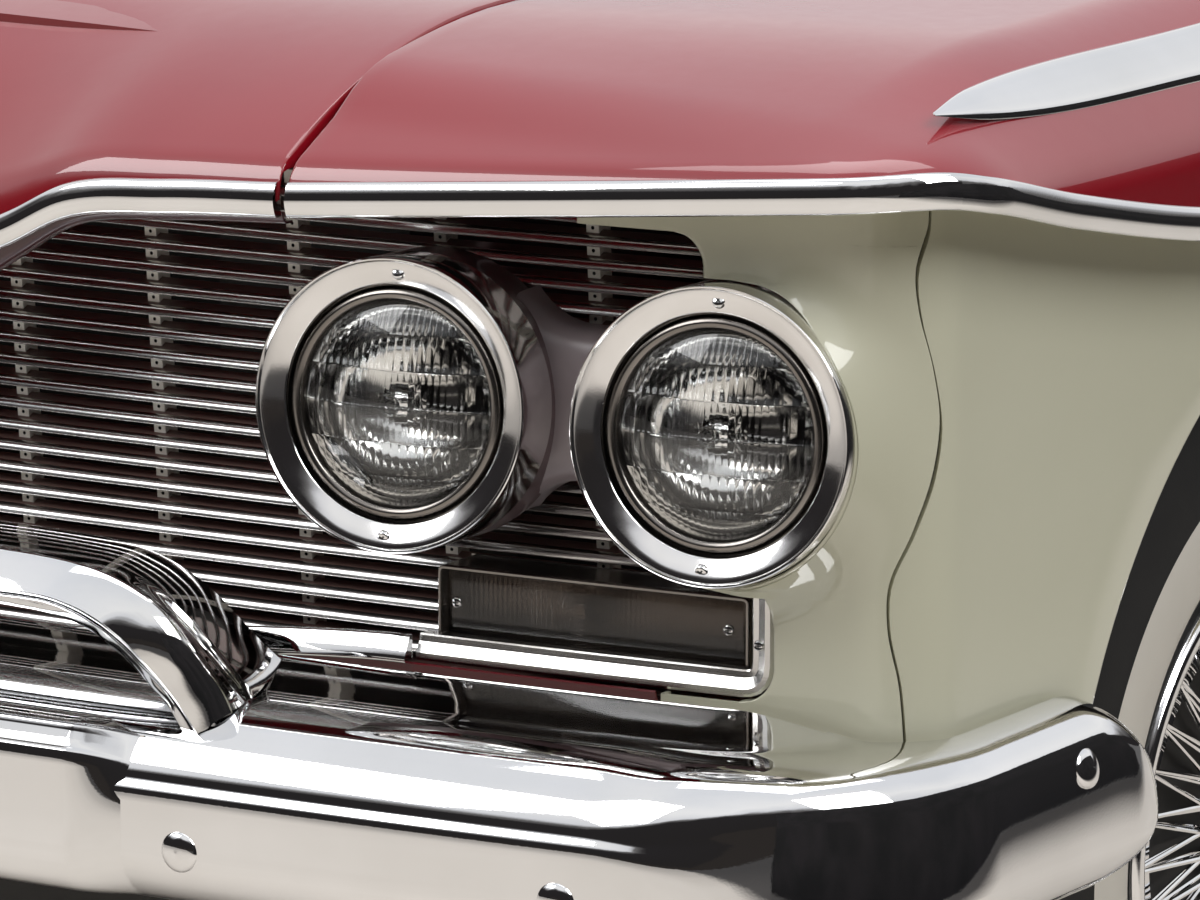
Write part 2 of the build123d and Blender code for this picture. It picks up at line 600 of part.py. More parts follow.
def at_bumper(face):
    return Plane.YZ * (Pos(NOSE_Y - BUMPER_OUT, 0) * face)


def bumper_region(t):
    """The section filled to its rear."""
    edges = bumper_outline(t)
    start = edges[0] @ 0
    end = edges[-1] @ 1
    return at_bumper(make_face(edges + [Line(end, (start.X, end.Y)), Line((start.X, end.Y), start)]))


def wrapped(face):
    """Carries a YZ section from the centre line round the corner and back along the side."""
    r = BOW_R + BUMPER_OUT - BUMPER_CORNER_R
    cx = BUMPER_SIDE_X - BUMPER_CORNER_R
    cy = BOW_Y - sqrt(r * r - cx * cx)
    turn = degrees(asin(cx / r))
    corner = Axis((cx, cy, 0), (0, 0, 1))
    at_corner = face.rotate(BOW, turn)
    at_side = at_corner.rotate(corner, 90 - turn)
    front = revolve(face, BOW, revolution_arc=turn)
    bend = revolve(at_corner, corner, revolution_arc=90 - turn)
    side = extrude(at_side, BUMPER_END_Y - cy, dir=(0, 1, 0))
    return front + bend + side


outer_edges = bumper_outline(0)
inner_edges = bumper_outline(BUMPER_T)
band_face = at_bumper(make_face(outer_edges + inner_edges + [Line(outer_edges[0] @ 0, inner_edges[0] @ 0),
                                                             Line(outer_edges[-1] @ 1, inner_edges[-1] @ 1)]))
bumper_half = wrapped(band_face)
side_y = BUMPER_END_Y - BUMPER_CORNER_R
top_z = DECK_Z + 1
foot_z = BUMPER_LOW_Z - 1
rest = sqrt(0.5)
end_keep = make_face([
    Line((side_y - 1, top_z), (BUMPER_END_Y - END_TOP_R, top_z)),
    ThreePointArc((BUMPER_END_Y - END_TOP_R, top_z),
                  (BUMPER_END_Y - END_TOP_R * (1 - rest), top_z - END_TOP_R * (1 - rest)),
                  (BUMPER_END_Y, top_z - END_TOP_R)),
    Line((BUMPER_END_Y, top_z - END_TOP_R), (BUMPER_END_Y, foot_z + END_LOW_R)),
    ThreePointArc((BUMPER_END_Y, foot_z + END_LOW_R),
                  (BUMPER_END_Y - END_LOW_R * (1 - rest), foot_z + END_LOW_R * (1 - rest)),
                  (BUMPER_END_Y - END_LOW_R, foot_z)),
    Line((BUMPER_END_Y - END_LOW_R, foot_z), (side_y - 1, foot_z)),
    Line((side_y - 1, foot_z), (side_y - 1, top_z))])
side_from = BUMPER_SIDE_X - BUMPER_CORNER_R
end_box = block(side_from, FAR, side_y, BUMPER_END_Y + 1, foot_z, top_z)
body_clear = xy_prism(plan(DECK_REAR_IN - 5, WHITE_IN - 6, FACE_R + 8, OVER), -FAR, FAR)
bumper_half = largest(bumper_half - (end_box - yz_prism(end_keep, side_from - 1, FAR)) - body_clear)
bumper = bumper_half + mirrored(bumper_half)

solid_bumper = wrapped(bumper_region(-FIT))
pad_face = behind_poly((-BUMPER_OUT - 3, PAD_TOP_Z), (-BUMPER_OUT - PAD_PROUD, PAD_TOP_Z - 8),
                       (-BUMPER_OUT - PAD_PROUD, PAD_LOW_Z + 12), (-BUMPER_OUT - 3, PAD_LOW_Z),
                       (-BUMPER_OUT + 40, PAD_LOW_Z), (-BUMPER_OUT + 40, PAD_TOP_Z))
pad_half = largest(bowed(pad_face, 0, PAD_HALF) - solid_bumper)
bumper_pad = pad_half + mirrored(pad_half)

# Arched guard: a deep hollow arch standing on the deck
def guard_form(t):
    """The guard's form down to its base, moved inwards by t."""
    base = CREASE_Z + t
    sections = []
    for side, y in ((0, NOSE_Y - GUARD_OUT), (1, bow_y(GUARD_HALF, 0))):
        line = [(GUARD_HALF - point[side] - t, GUARD_TOP_Z - point[2 + side] - t) for point in GUARD_LINE]
        face = poly((0, base), (0, line[0][1]), *line, (line[-1][0] + 14, base))
        sections.append(Plane((0, y, 0), x_dir=(1, 0, 0), z_dir=(0, -1, 0)) * face)
    return loft(sections, ruled=True)


def guard_side(t):
    """Everything behind the guard's front, moved back by t."""
    return bowed(behind_poly((-GUARD_OUT + 28 + t, CREASE_Z - 1), (-GUARD_OUT + 22 + t, DECK_Z - 22),
                             (-GUARD_OUT + t, DECK_Z + 8), (-GUARD_OUT + t, GUARD_TOP_Z - 10),
                             (-GUARD_OUT + 6 + t, GUARD_TOP_Z + 1), (0, GUARD_TOP_Z + 1), (0, CREASE_Z - 1)),
                 0, GUARD_HALF + 60)


guard_under = poly((-1, CREASE_Z - 1), (-1, GUARD_TOP_Z - GUARD_BAND),
                   *[(GUARD_HALF - x, GUARD_TOP_Z - z) for x, z in GUARD_INNER], (GUARD_HALF - 34, CREASE_Z - 1))
guard_solid = guard_form(0) & guard_side(0)
hollow = (guard_form(GUARD_T) & guard_side(GUARD_T + 4)) + xz_prism(guard_under, -FAR, 0)
guard_half = largest(guard_solid - hollow - solid_bumper)
guard = guard_half + mirrored(guard_half)

# Frame rails, crossmembers and bumper brackets
rail_in = RAIL_X - RAIL_W / 2
rail_out = RAIL_X + RAIL_W / 2
rail_low = RAIL_TOP_Z - RAIL_H
rail_mid_z = (rail_low + RAIL_TOP_Z) / 2
rail = block(rail_in, rail_out, RAIL_FRONT_Y, -PLATE_T, rail_low, RAIL_TOP_Z)
rail = rail - block(rail_in + RAIL_T, rail_out - RAIL_T, RAIL_FRONT_Y - 1, -PLATE_T + 1, rail_low + RAIL_T,
                    RAIL_TOP_Z - RAIL_T)
plate = block(RAIL_X - PLATE_W / 2, RAIL_X + PLATE_W / 2, -PLATE_T, 0, rail_low - PLATE_OVER,
              RAIL_TOP_Z + PLATE_OVER)
for dx in (-BOLT_DX, BOLT_DX):
    for dz in (-BOLT_DZ, BOLT_DZ):
        plate = plate - rod((RAIL_X + dx, -2 * PLATE_T, rail_mid_z + dz), (RAIL_X + dx, PLATE_T, rail_mid_z + dz),
                            BOLT_R)
rails = both(rail + plate)
CROSS_HALF = 80.0            # half length of the suspension crossmember
cross = block(-rail_in + FIT, rail_in - FIT, AXLE_Y - CROSS_HALF, AXLE_Y + CROSS_HALF, rail_low + 6,
              RAIL_TOP_Z - 10)
cross = cross - block(-rail_in - 9, rail_in + 9, AXLE_Y - CROSS_HALF + RAIL_T, AXLE_Y + CROSS_HALF - RAIL_T,
                      rail_low + 6 + RAIL_T, RAIL_TOP_Z - 10 - RAIL_T)
front_cross = block(-rail_in + FIT, rail_in - FIT, RAIL_FRONT_Y + 10, RAIL_FRONT_Y + 70, rail_low + 30,
                    RAIL_TOP_Z - 8)
crossmembers = group(cross, front_cross)
BRACKET_W = 40.0
BRACKET_Z = 4.0
BRACKET_T = 24.0
SUPPORT_T = 4.0
SUPPORT_TOP_Z = 400.0
bracket_top = BRACKET_Z + BRACKET_T / 2
bracket_y = bow_y(RAIL_X, BUMPER_T + 3 - BUMPER_OUT)
bracket = block(RAIL_X - BRACKET_W / 2, RAIL_X + BRACKET_W / 2, bracket_y, SUPPORT_Y - 3, bracket_top - BRACKET_T,
                bracket_top)
bracket = bracket + block(RAIL_X - BRACKET_W / 2, RAIL_X + BRACKET_W / 2, RAIL_FRONT_Y - 50, SUPPORT_Y - 3,
                          RAIL_TOP_Z + FIT, bracket_top)
brackets = both(bracket)

# Radiator support and core
support_x = APRON_X - FIT
foot_low = RAIL_TOP_Z + 16 + FIT
support_rear = SUPPORT_Y + SUPPORT_T
CORE_HALF = 350.0
CORE_Z0, CORE_Z1 = -5.0, 340.0
support = block(-support_x, support_x, SUPPORT_Y, support_rear, foot_low, SUPPORT_TOP_Z)
support = support - block(-CORE_HALF + 20, CORE_HALF - 20, SUPPORT_Y - 5, support_rear + 5, CORE_Z0 - 5,
                          CORE_Z1 + 5)
support = support + block(-support_x, support_x, support_rear, support_rear + 39, SUPPORT_TOP_Z - SUPPORT_T,
                          SUPPORT_TOP_Z)
support = support + block(-support_x, support_x, support_rear, support_rear + 29, foot_low,
                          foot_low + SUPPORT_T)
core = block(-CORE_HALF, CORE_HALF, support_rear + FIT, support_rear + 51, CORE_Z0, CORE_Z1)

# Wheelhouse aprons
apron_top = FLANGE_Z - FIT
wall = block(APRON_X, APRON_X + APRON_T, SUPPORT_Y, -PLATE_T - FIT, RAIL_TOP_Z + FIT, apron_top)
wall = wall + block(APRON_X, seam_in + LEDGE_W, SUPPORT_Y, 0, apron_top - APRON_T, apron_top)
wall = wall - block(APRON_X - 5, APRON_X + 9, AXLE_Y - 140, AXLE_Y + 140, RAIL_TOP_Z - 5, 90)
liner_out = SIDE_X - WHITE_IN - SHEET - FIT
liner = disc_x(APRON_X + 1, liner_out, ARCH_R + 10, ARCH_Y) - disc_x(APRON_X, liner_out + 1, ARCH_R + 7, ARCH_Y)
liner = liner - block(0, FAR, -FAR, 0, -FAR, APRON_LOW_Z)
apron = wall + liner - block(0, APRON_X - 1, -FAR, 0, -FAR, FAR)

# Suspension: arms fixed at ride height
king = (Vector(*KING_TOP) - Vector(*KING_LOW)).normalized()


def arm(inner_x, inner_z, ball, away, half_inner, height):
    """A wishbone from two inner bushes to a boss on the kingpin line, just clear of the knuckle's end."""
    near = Vector(*ball) + king * (away * FIT)
    far = Vector(*ball) + king * (away * (FIT + height + 6))
    mid = (near + far) * 0.5
    face = poly((inner_x, AXLE_Y - half_inner - 22), (inner_x, AXLE_Y - half_inner + 22), (mid.X - 60, AXLE_Y - 18),
                (mid.X - 60, AXLE_Y + 18), (inner_x, AXLE_Y + half_inner - 22), (inner_x, AXLE_Y + half_inner + 22),
                (mid.X, AXLE_Y + 15), (mid.X, AXLE_Y - 15))
    drop = degrees(asin((inner_z - mid.Z) / (mid.X - inner_x)))
    flat = Pos(mid.X, 0, mid.Z) * Rot(0, drop, 0) * Pos(-mid.X, 0, 0) * extrude(face, height / 2, both=True)
    return flat + rod(tuple(near), tuple(far), KING_ROD_R + 0.5)


LOWER_BUSH_R = 13.7
bush_x = RAIL_X - 10
bush_z = rail_low - LOWER_BUSH_R - FIT
lower_arm = arm(bush_x, bush_z, KING_LOW, -1, 110, 18)
lower_bush = rod((bush_x, AXLE_Y - 150, bush_z), (bush_x, AXLE_Y + 150, bush_z), LOWER_BUSH_R)
tower_out = rail_out
tower = block(tower_out - 21, tower_out, AXLE_Y - 130, AXLE_Y + 130, RAIL_TOP_Z + FIT, 50)
upper_arm = arm(tower_out + 3, 30, KING_TOP, 1, 90, 14)

# Steering knuckle about the kingpin line
BACK_PLATE_R = 138.0
stub_x = TRACK_HALF - 93
knuckle = rod(KING_LOW, KING_TOP, KING_ROD_R)
knuckle = knuckle + disc_x(stub_x, TRACK_HALF - 31, 24) + disc_x(stub_x, TRACK_HALF + 33, 14)
knuckle = knuckle + disc_x(TRACK_HALF - 65, TRACK_HALF - 62, BACK_PLATE_R)
knuckle = knuckle + block(stub_x - 40, stub_x - 12, AXLE_Y, AXLE_Y + 130, AXLE_Z - 30, AXLE_Z - 8)
knuckle = knuckle + block(stub_x - 40, stub_x + 4, AXLE_Y - 14, AXLE_Y + 14, AXLE_Z - 30, AXLE_Z - 8)


def wheel_lathe(*points):
    """Turns (distance from the wheel's middle plane, radius) points."""
    return lathe_x([(TRACK_HALF + x, r) for x, r in points])


# Brake drum, wheel, cover and tyre
DRUM_R = 140.0
BORE_R = 14.05
drum = wheel_lathe((-60, DRUM_R - 12), (-60, DRUM_R), (-11, DRUM_R), (-7, DRUM_R - 6), (-7, BORE_R), (-23, BORE_R),
                   (-23, 24), (-13, 24), (-13, DRUM_R - 12))
flange_r = RIM_R + 12
well_r = RIM_R - 22
half = RIM_HALF_W
wheel = wheel_lathe(
    (-half, flange_r), (-half + 4, flange_r), (-half + 4, RIM_R), (-50, RIM_R), (-36, well_r + 4), (4, well_r + 4),
    (22, RIM_R), (half - 4, RIM_R), (half - 4, flange_r), (half, flange_r), (half, RIM_R - 4), (24, RIM_R - 4),
    (9, well_r), (20, 140), (30, 110), (0, 80), (-1, 34), (-7 + FIT, 34), (-7 + FIT, 80), (22, 108), (12, 138),
    (1, well_r), (-38, well_r), (-52, RIM_R - 4), (-half, RIM_R - 4))
cover = wheel_lathe(
    (half + FIT, flange_r - 2), (half + 5, flange_r - 6), (82, 178), (64, 167), (60, 150), (72, 100), (80, 60),
    (90, 50), (94, 30), (95, 0), (92.5, 0), (91.5, 29), (88, 48), (78, 58), (70, 98), (57.5, 150), (61, 169),
    (half + FIT, 179))
hw = TYRE_W / 2
bead = half - 4 - FIT
wall_h = TYRE_R - RIM_R


def on_wall(share):
    """Radius at a share of the sidewall's height."""
    return RIM_R + wall_h * share


tyre = wheel_lathe(
    (-bead, RIM_R + FIT), (bead, RIM_R + FIT), (bead, flange_r + 1), (hw - 12, on_wall(0.2)), (hw, on_wall(0.49)),
    (hw - 10, on_wall(0.76)), (hw - 26, on_wall(0.94)), (hw - 48, TYRE_R), (-hw + 48, TYRE_R),
    (-hw + 26, on_wall(0.94)), (-hw + 10, on_wall(0.76)), (-hw, on_wall(0.49)), (-hw + 12, on_wall(0.2)),
    (-bead, flange_r + 1))

# Hood hinge and latch
BRACKET_X = APRON_X - 6
hinge_low_z = 380.0
hinge_bracket = block(BRACKET_X, APRON_X - FIT, HINGE_Y - 22, HINGE_Y + 22, hinge_low_z, FLANGE_Z - 4)
hinge_bracket = hinge_bracket + yz_prism(poly((HINGE_Y - 22, FLANGE_Z - 6), (HINGE_Y + 22, FLANGE_Z - 6),
                                              (HINGE_Y + 14, HINGE_Z + 10), (HINGE_Y - 14, HINGE_Z + 10)),
                                         BRACKET_X, APRON_X - FIT)
hinge_bracket = hinge_bracket - rod((APRON_X - 8, HINGE_Y, HINGE_Z), (APRON_X + 4, HINGE_Y, HINGE_Z), PIN_R + 0.05)
hinge_arm = yz_prism(poly((HINGE_Y - 60, HINGE_Z + 20), (HINGE_Y + 16, HINGE_Z + 20), (HINGE_Y + 14, HINGE_Z - 12),
                          (HINGE_Y - 14, HINGE_Z - 12)), HINGE_X, HINGE_X + 6)
hinge_arm = hinge_arm + block(HINGE_X - 24, HINGE_X + 6, HINGE_Y - 60, HINGE_Y + 16, HINGE_Z + 20, HINGE_Z + 56)
hinge_arm = hinge_arm & rib_space
hinge_arm = hinge_arm + rod((HINGE_X, HINGE_Y, HINGE_Z), (APRON_X - FIT, HINGE_Y, HINGE_Z), PIN_R)
latch_y = support_rear + 7
latch = block(-40, 40, latch_y, latch_y + 24, SUPPORT_TOP_Z + FIT, SUPPORT_TOP_Z + 12)
latch = latch + block(-12, 12, latch_y + 4, latch_y + 20, SUPPORT_TOP_Z + 12, SUPPORT_TOP_Z + 40)

nodes = {
    "frame_rails": rails,
    "crossmembers": crossmembers,
    "bumper_brackets": brackets,
    "radiator_support": support,
    "radiator_core": core,
    "apron_left": apron,
    "apron_right": mirrored(apron),
    "upper_arm_towers": both(tower),
    "lower_arms": both(lower_arm + lower_bush),
    "upper_arms": both(upper_arm),
    "fender_left": fender,
    "fender_right": mirrored(fender),
    "lamp_surround_left": surround,
    "lamp_surround_right": mirrored(surround),
    "brow_moulding_left": brow,
    "brow_moulding_right": mirrored(brow),
    "side_mouldings": both(side_lip),
    "spear_mouldings": both(spear),
    "lamp_pods": both(*[p * pod for p in places]),
    "lamp_webs": both(web),
    "lamp_bezels": both(*[p * bezel for p in places]),
    "lamp_rings": both(*[p * ring for p in places]),
    "lamp_bowls": both(*[p * Pos(0, lens_back, 0) * bowl for p in places]),
    "lamp_lenses": both(*[p * Pos(0, lens_back, 0) * lens for p in places]),
    "grille_bars": grille_bars,
    "grille_posts": grille_posts,
    "grille_head_bar": grille_head,
    "grille_lower_moulding": low_moulding,
    "parking_lamp_trays": both(tray),
    "parking_lamp_bulbs": both(park_back),
    "parking_lamp_lenses": both(park_lens),
    "parking_lamp_mouldings": both(park_moulding),
    "stone_shield": stone_shield,
    "bumper_bar": bumper,
    "bumper_centre": bumper_pad,
    "bumper_guard": guard,
    "hood_hinge_brackets": both(hinge_bracket),
    "hood_latch": latch,
    "hood_skin": hood,
    "hood_frame": hood_frame,
    "hood_lip_moulding": hood_lip,
    "hood_hinge_arms": both(hinge_arm),
    "knuckle_left": knuckle,
    "knuckle_right": mirrored(knuckle),
    "brake_drum_left": drum,
    "brake_drum_right": mirrored(drum),
    "wheel_left": wheel,
    "wheel_right": mirrored(wheel),
    "wheel_cover_left": cover,
    "wheel_cover_right": mirrored(cover),
    "tyre_left": tyre,
    "tyre_right": mirrored(tyre),
}

os.makedirs("parts", exist_ok=True)
for name, shape in nodes.items():
    shape.label = name
    export_step(shape, f"parts/{name}.step")
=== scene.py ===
"""Looks for the front end of a classic two-tone car, in the CAD frame. Shapes are in mm, scaled to metres."""
import bpy
import bmesh
from math import asin, atan2, cos, dist, hypot, pi, radians, sin, sqrt
from mathutils import Matrix, Vector


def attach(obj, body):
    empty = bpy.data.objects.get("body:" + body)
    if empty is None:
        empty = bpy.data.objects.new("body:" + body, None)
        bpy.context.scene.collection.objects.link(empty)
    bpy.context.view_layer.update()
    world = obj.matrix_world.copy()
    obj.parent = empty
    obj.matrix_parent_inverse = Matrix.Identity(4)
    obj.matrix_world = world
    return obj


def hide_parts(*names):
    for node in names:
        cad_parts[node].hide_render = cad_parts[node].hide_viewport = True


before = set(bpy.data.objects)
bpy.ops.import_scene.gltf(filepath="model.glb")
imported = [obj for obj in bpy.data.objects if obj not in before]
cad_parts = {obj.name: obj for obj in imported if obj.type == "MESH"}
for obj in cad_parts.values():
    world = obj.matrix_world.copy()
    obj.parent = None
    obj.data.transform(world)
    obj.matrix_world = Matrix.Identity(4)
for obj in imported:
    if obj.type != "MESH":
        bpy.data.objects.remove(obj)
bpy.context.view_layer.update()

# Driving sizes, as in the CAD source
BOW_R = 5740.0
NOSE_Y = -1331.0
BOW_Y = NOSE_Y + BOW_R
SIDE_X = 985
CORNER_R = 85
WHITE_X = 947
FACE_IN = 40
FACE_R = 55
SEAM_X = 530
GAP = 3.5
LIP_Z = 398
LIP_RISE = 0.0805
SWEEP = ((-1400, 434), (-1219, 431.5), (-1085, 402), (-928, 371.5), (-760, 350), (-560, 342), (0, 330))
DIP = ((0, 326), (190, 326), (260, 338), (320, 362), (366, 384), (441, 393), (530, 398))
SEAM_LINE = ((-60, -1200), (110, -1205), (150, -1210), (182, -1209), (213, -1199), (250, -1187), (281, -1183),
             (313, -1188), (350, -1197), (377, -1199), (408, -1192), (440, -1192))
PLUMB_Z = 429
CREST_IN = 117
TOP_Z = 496
NOSE_H = 92
AXLE_Y = -570
AXLE_Z = -120
TRACK = 773
ARCH_Y = -600
ARCH_R = 428
LAMP_X = (600, 823)
LAMP_Z = 270
LAMP_FACE = 8
LAMP_SWEEP = 9
LAMP_LEAN = 4
FLOOR_Z = -463.2
BUMPER_OUT = 100
BUMPER_SIDE = 994
BUMPER_CORNER = 185


class Geo:
    """Vertices with faces and a material index for each face."""

    def __init__(self):
        self.v = []
        self.f = []
        self.m = []

    def face(self, points, mat=0):
        n = len(self.v)
        self.v += points
        self.f.append(list(range(n, n + len(points))))
        self.m.append(mat)

    def grid(self, rows, loop_u=False, loop_v=False, mat=0, mats=None):
        """Joins rows of points. mats gives a material to each column of faces."""
        n = len(self.v)
        w = len(rows[0])
        h = len(rows)
        for row in rows:
            self.v += list(row)
        for i in range(h if loop_v else h - 1):
            for j in range(w if loop_u else w - 1):
                k = (j + 1) % w
                top = n + ((i + 1) % h) * w
                self.f.append([n + i * w + j, n + i * w + k, top + k, top + j])
                self.m.append(mats[j] if mats else mat)
        return self

    def lathe(self, profile, steps=96, mat=0):
        """Turns (radius, y) points about the Y axis."""
        rows = [[(r * cos(2 * pi * k / steps), y, r * sin(2 * pi * k / steps)) for k in range(steps)]
                for r, y in profile]
        return self.grid(rows, loop_u=True, mat=mat)

    def bar(self, rows, mats=None, end=0):
        """A closed bar through rows of points, shut at both ends."""
        self.grid(rows, loop_u=True, mats=mats)
        self.face(list(reversed(rows[0])), end)
        self.face(rows[-1], end)
        return self

    def add(self, other, matrix=None):
        n = len(self.v)
        self.v += [tuple(matrix @ Vector(p)) for p in other.v] if matrix else list(other.v)
        self.f += [[n + i for i in f] for f in other.f]
        self.m += other.m
        return self

    def mirrored(self):
        g = Geo()
        g.v = [(-x, y, z) for x, y, z in self.v]
        g.f = [list(reversed(f)) for f in self.f]
        g.m = list(self.m)
        return g

    def both(self):
        return Geo().add(self).add(self.mirrored())


def piece(name, geo, mats, replaces=(), sharp=40, solid=0, body="front_end"):
    """Makes a piece of the model; solid is a thickness added on the inner side."""
    mesh = bpy.data.meshes.new(name)
    mesh.from_pydata([(x * 0.001, y * 0.001, z * 0.001) for x, y, z in geo.v], [], geo.f)
    for m in mats if isinstance(mats, (list, tuple)) else [mats]:
        mesh.materials.append(m)
    for polygon, m in zip(mesh.polygons, geo.m):
        polygon.material_index = m
    bm = bmesh.new()
    bm.from_mesh(mesh)
    bmesh.ops.remove_doubles(bm, verts=bm.verts, dist=2e-5)
    bmesh.ops.dissolve_degenerate(bm, edges=bm.edges, dist=1e-6)
    bmesh.ops.recalc_face_normals(bm, faces=bm.faces)
    bm.to_mesh(mesh)
    bm.free()
    mesh.shade_smooth()
    if not solid:
        mesh.set_sharp_from_angle(angle=radians(sharp))
    obj = bpy.data.objects.new(name, mesh)
    bpy.context.scene.collection.objects.link(obj)
    if solid:
        s = obj.modifiers.new("thickness", "SOLIDIFY")
        s.thickness = abs(solid) * 0.001
        s.offset = -1 if solid > 0 else 1
        e = obj.modifiers.new("edges", "EDGE_SPLIT")
        e.split_angle = radians(sharp)
    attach(obj, body)
    if replaces:
        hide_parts(*replaces)


# Numbers and lines
def clamp(t, lo=0, hi=1):
    return max(lo, min(hi, t))


def smooth(t):
    t = clamp(t)
    return t * t * (3 - 2 * t)


def lerp(a, b, t):
    return a + (b - a) * t


def spread(a, b, n):
    return [a + (b - a) * i / (n - 1) for i in range(n)]


def between(p, q, t, *move):
    """The point at a share of the way from p to q, moved a little."""
    return tuple(lerp(a, b, t) + m for a, b, m in zip(p, q, move))


def chord(r, d):
    """Half the width of a circle at a distance from its centre."""
    return sqrt(max(0, r * r - d * d))


def edge_of(test, lo, hi, steps=40):
    """The value between lo and hi from which on a test holds."""
    for _ in range(steps):
        mid = (lo + hi) / 2
        lo, hi = (lo, mid) if test(mid) else (mid, hi)
    return lo


def lengths(points):
    """Distance along a line at each of its points."""
    run = [0]
    for p, q in zip(points, points[1:]):
        run.append(run[-1] + dist(p, q))
    return run


def at_length(points, run, s):
    """Point of a line at a distance along it."""
    for p, q, a, b in zip(points, points[1:], run, run[1:]):
        if s <= b:
            return between(p, q, (s - a) / (b - a), 0, 0)
    return points[-1]


def along(table, x):
    """Smooth interpolation of (x, y) pairs."""
    if x <= table[0][0]:
        return table[0][1]
    if x >= table[-1][0]:
        return table[-1][1]
    n = len(table)
    slopes = [(table[i + 1][1] - table[i][1]) / (table[i + 1][0] - table[i][0]) for i in range(n - 1)]
    for i in range(n - 1):
        x0, y0 = table[i]
        x1, y1 = table[i + 1]
        if x <= x1:
            m0 = 0.5 * (slopes[max(i - 1, 0)] + slopes[i])
            m1 = 0.5 * (slopes[i] + slopes[min(i + 1, n - 2)])
            if slopes[i] == 0:
                m0 = m1 = 0
            h = x1 - x0
            t = (x - x0) / h
            return ((2 * t ** 3 - 3 * t ** 2 + 1) * y0 + (t ** 3 - 2 * t ** 2 + t) * h * m0
                    + (3 * t ** 2 - 2 * t ** 3) * y1 + (t ** 3 - t ** 2) * h * m1)


def smooth_line(points, steps):
    """Catmull-Rom points through a line."""
    out = []
    n = len(points)
    for i in range(n - 1):
        p0, p1, p2, p3 = points[max(i - 1, 0)], points[i], points[i + 1], points[min(i + 2, n - 1)]
        for k in range(steps):
            t = k / steps
            out.append(tuple(0.5 * (2 * b + (c - a) * t + (2 * a - 5 * b + 4 * c - d) * t * t
                                    + (3 * b - a - 3 * c + d) * t ** 3) for a, b, c, d in zip(p0, p1, p2, p3)))
    out.append(tuple(points[-1]))
    return out


def rounded(points, radii, steps=6):
    """Rounds the corners of an open line; radii is one radius or one for each corner."""
    corners = len(points) - 2
    radii = radii if isinstance(radii, (list, tuple)) else [radii] * corners
    out = [points[0]]
    for p0, p1, p2, k in zip(points, points[1:], points[2:], radii):
        a, b, c = Vector(p0), Vector(p1), Vector(p2)
        k = min(k, (a - b).length * 0.48, (c - b).length * 0.48)
        s = b + (a - b).normalized() * k
        e = b + (c - b).normalized() * k
        for t in spread(0, 1, steps):
            q = s * (1 - t) ** 2 + b * 2 * t * (1 - t) + e * t ** 2
            out.append((q.x, q.y))
    out.append(points[-1])
    return out


def dense(points, step=12):
    out = [points[0]]
    for p, q in zip(points, points[1:]):
        n = max(1, int(dist(p, q) / step))
        out += [between(p, q, k / n, 0, 0) for k in range(1, n + 1)]
    return out


def bow_y(x, behind=0):
    r = BOW_R - behind
    return BOW_Y - sqrt(r * r - x * x)


def at(x, behind, z):
    """Point at a height, some way behind the bowed front."""
    return x, bow_y(x, behind), z


def bow_path(behind, x0, x1, n):
    """Points and outward directions along a bowed line."""
    r = BOW_R - behind
    angles = [asin(x / r) for x in spread(x0, x1, n)]
    return [((r * sin(a), BOW_Y - r * cos(a)), (sin(a), -cos(a))) for a in angles]


def plan_path(behind, side_x, corner_r, x0, end_y, n_front=60, n_corner=16, n_side=30):
    """Points and outward directions along the bowed front, round the corner and back along the side."""
    r = BOW_R - behind
    cx = side_x - corner_r
    cy = BOW_Y - sqrt((r - corner_r) ** 2 - cx * cx)
    turn = asin(cx / (r - corner_r))
    path = bow_path(behind, x0, r * sin(turn), n_front)
    for a in spread(turn, pi / 2, n_corner)[1:]:
        path.append(((cx + corner_r * sin(a), cy - corner_r * cos(a)), (sin(a), -cos(a))))
    return path + [((side_x, y), (1, 0)) for y in spread(cy, end_y, n_side)[1:]]


def strip_along(path, z_of, section):
    """Sweeps a closed section of (outward, up) points along a plan path whose height comes from z_of(x, y)."""
    rows = [[(x + nx * o, y + ny * o, z_of(x, y) + h) for o, h in section] for (x, y), (nx, ny) in path]
    return Geo().bar(rows)


def tube(points, radius, steps=8):
    """A round bar along points."""
    pts = [Vector(p) for p in points]
    rows = []
    up = None
    for i, p in enumerate(pts):
        t = (pts[min(i + 1, len(pts) - 1)] - pts[max(i - 1, 0)]).normalized()
        up = up or t.orthogonal().normalized()
        up = (up - t * up.dot(t)).normalized()
        w = t.cross(up)
        rows.append([tuple(p + (up * cos(2 * pi * k / steps) + w * sin(2 * pi * k / steps)) * radius)
                     for k in range(steps)])
    return Geo().bar(rows)


# Materials
def put(nt, target, inputs):
    """Gives each input of a shader node a link or a value."""
    for key, value in inputs.items():
        if isinstance(value, bpy.types.NodeSocket):
            nt.links.new(value, target.inputs[key])
        else:
            target.inputs[key].default_value = value


def node(nt, kind, inputs, out=0, **settings):
    """Adds a shader node and returns one of its outputs."""
    n = nt.nodes.new("ShaderNode" + kind)
    for key, value in settings.items():
        setattr(n, key, value)
    put(nt, n, inputs)
    return n.outputs[out]


def new_mat(name):
    m = bpy.data.materials.new(name)
    m.use_nodes = True
    return m, m.node_tree, m.node_tree.nodes["Principled BSDF"]


def noise(nt, scale, detail=3, rough=0.5, stretch=(1, 1, 1)):
    at = node(nt, "Mapping", {"Vector": node(nt, "TexCoord", {}, "Object"), "Scale": stretch})
    return node(nt, "TexNoise", {"Vector": at, "Scale": scale, "Detail": detail, "Roughness": rough}, "Fac")


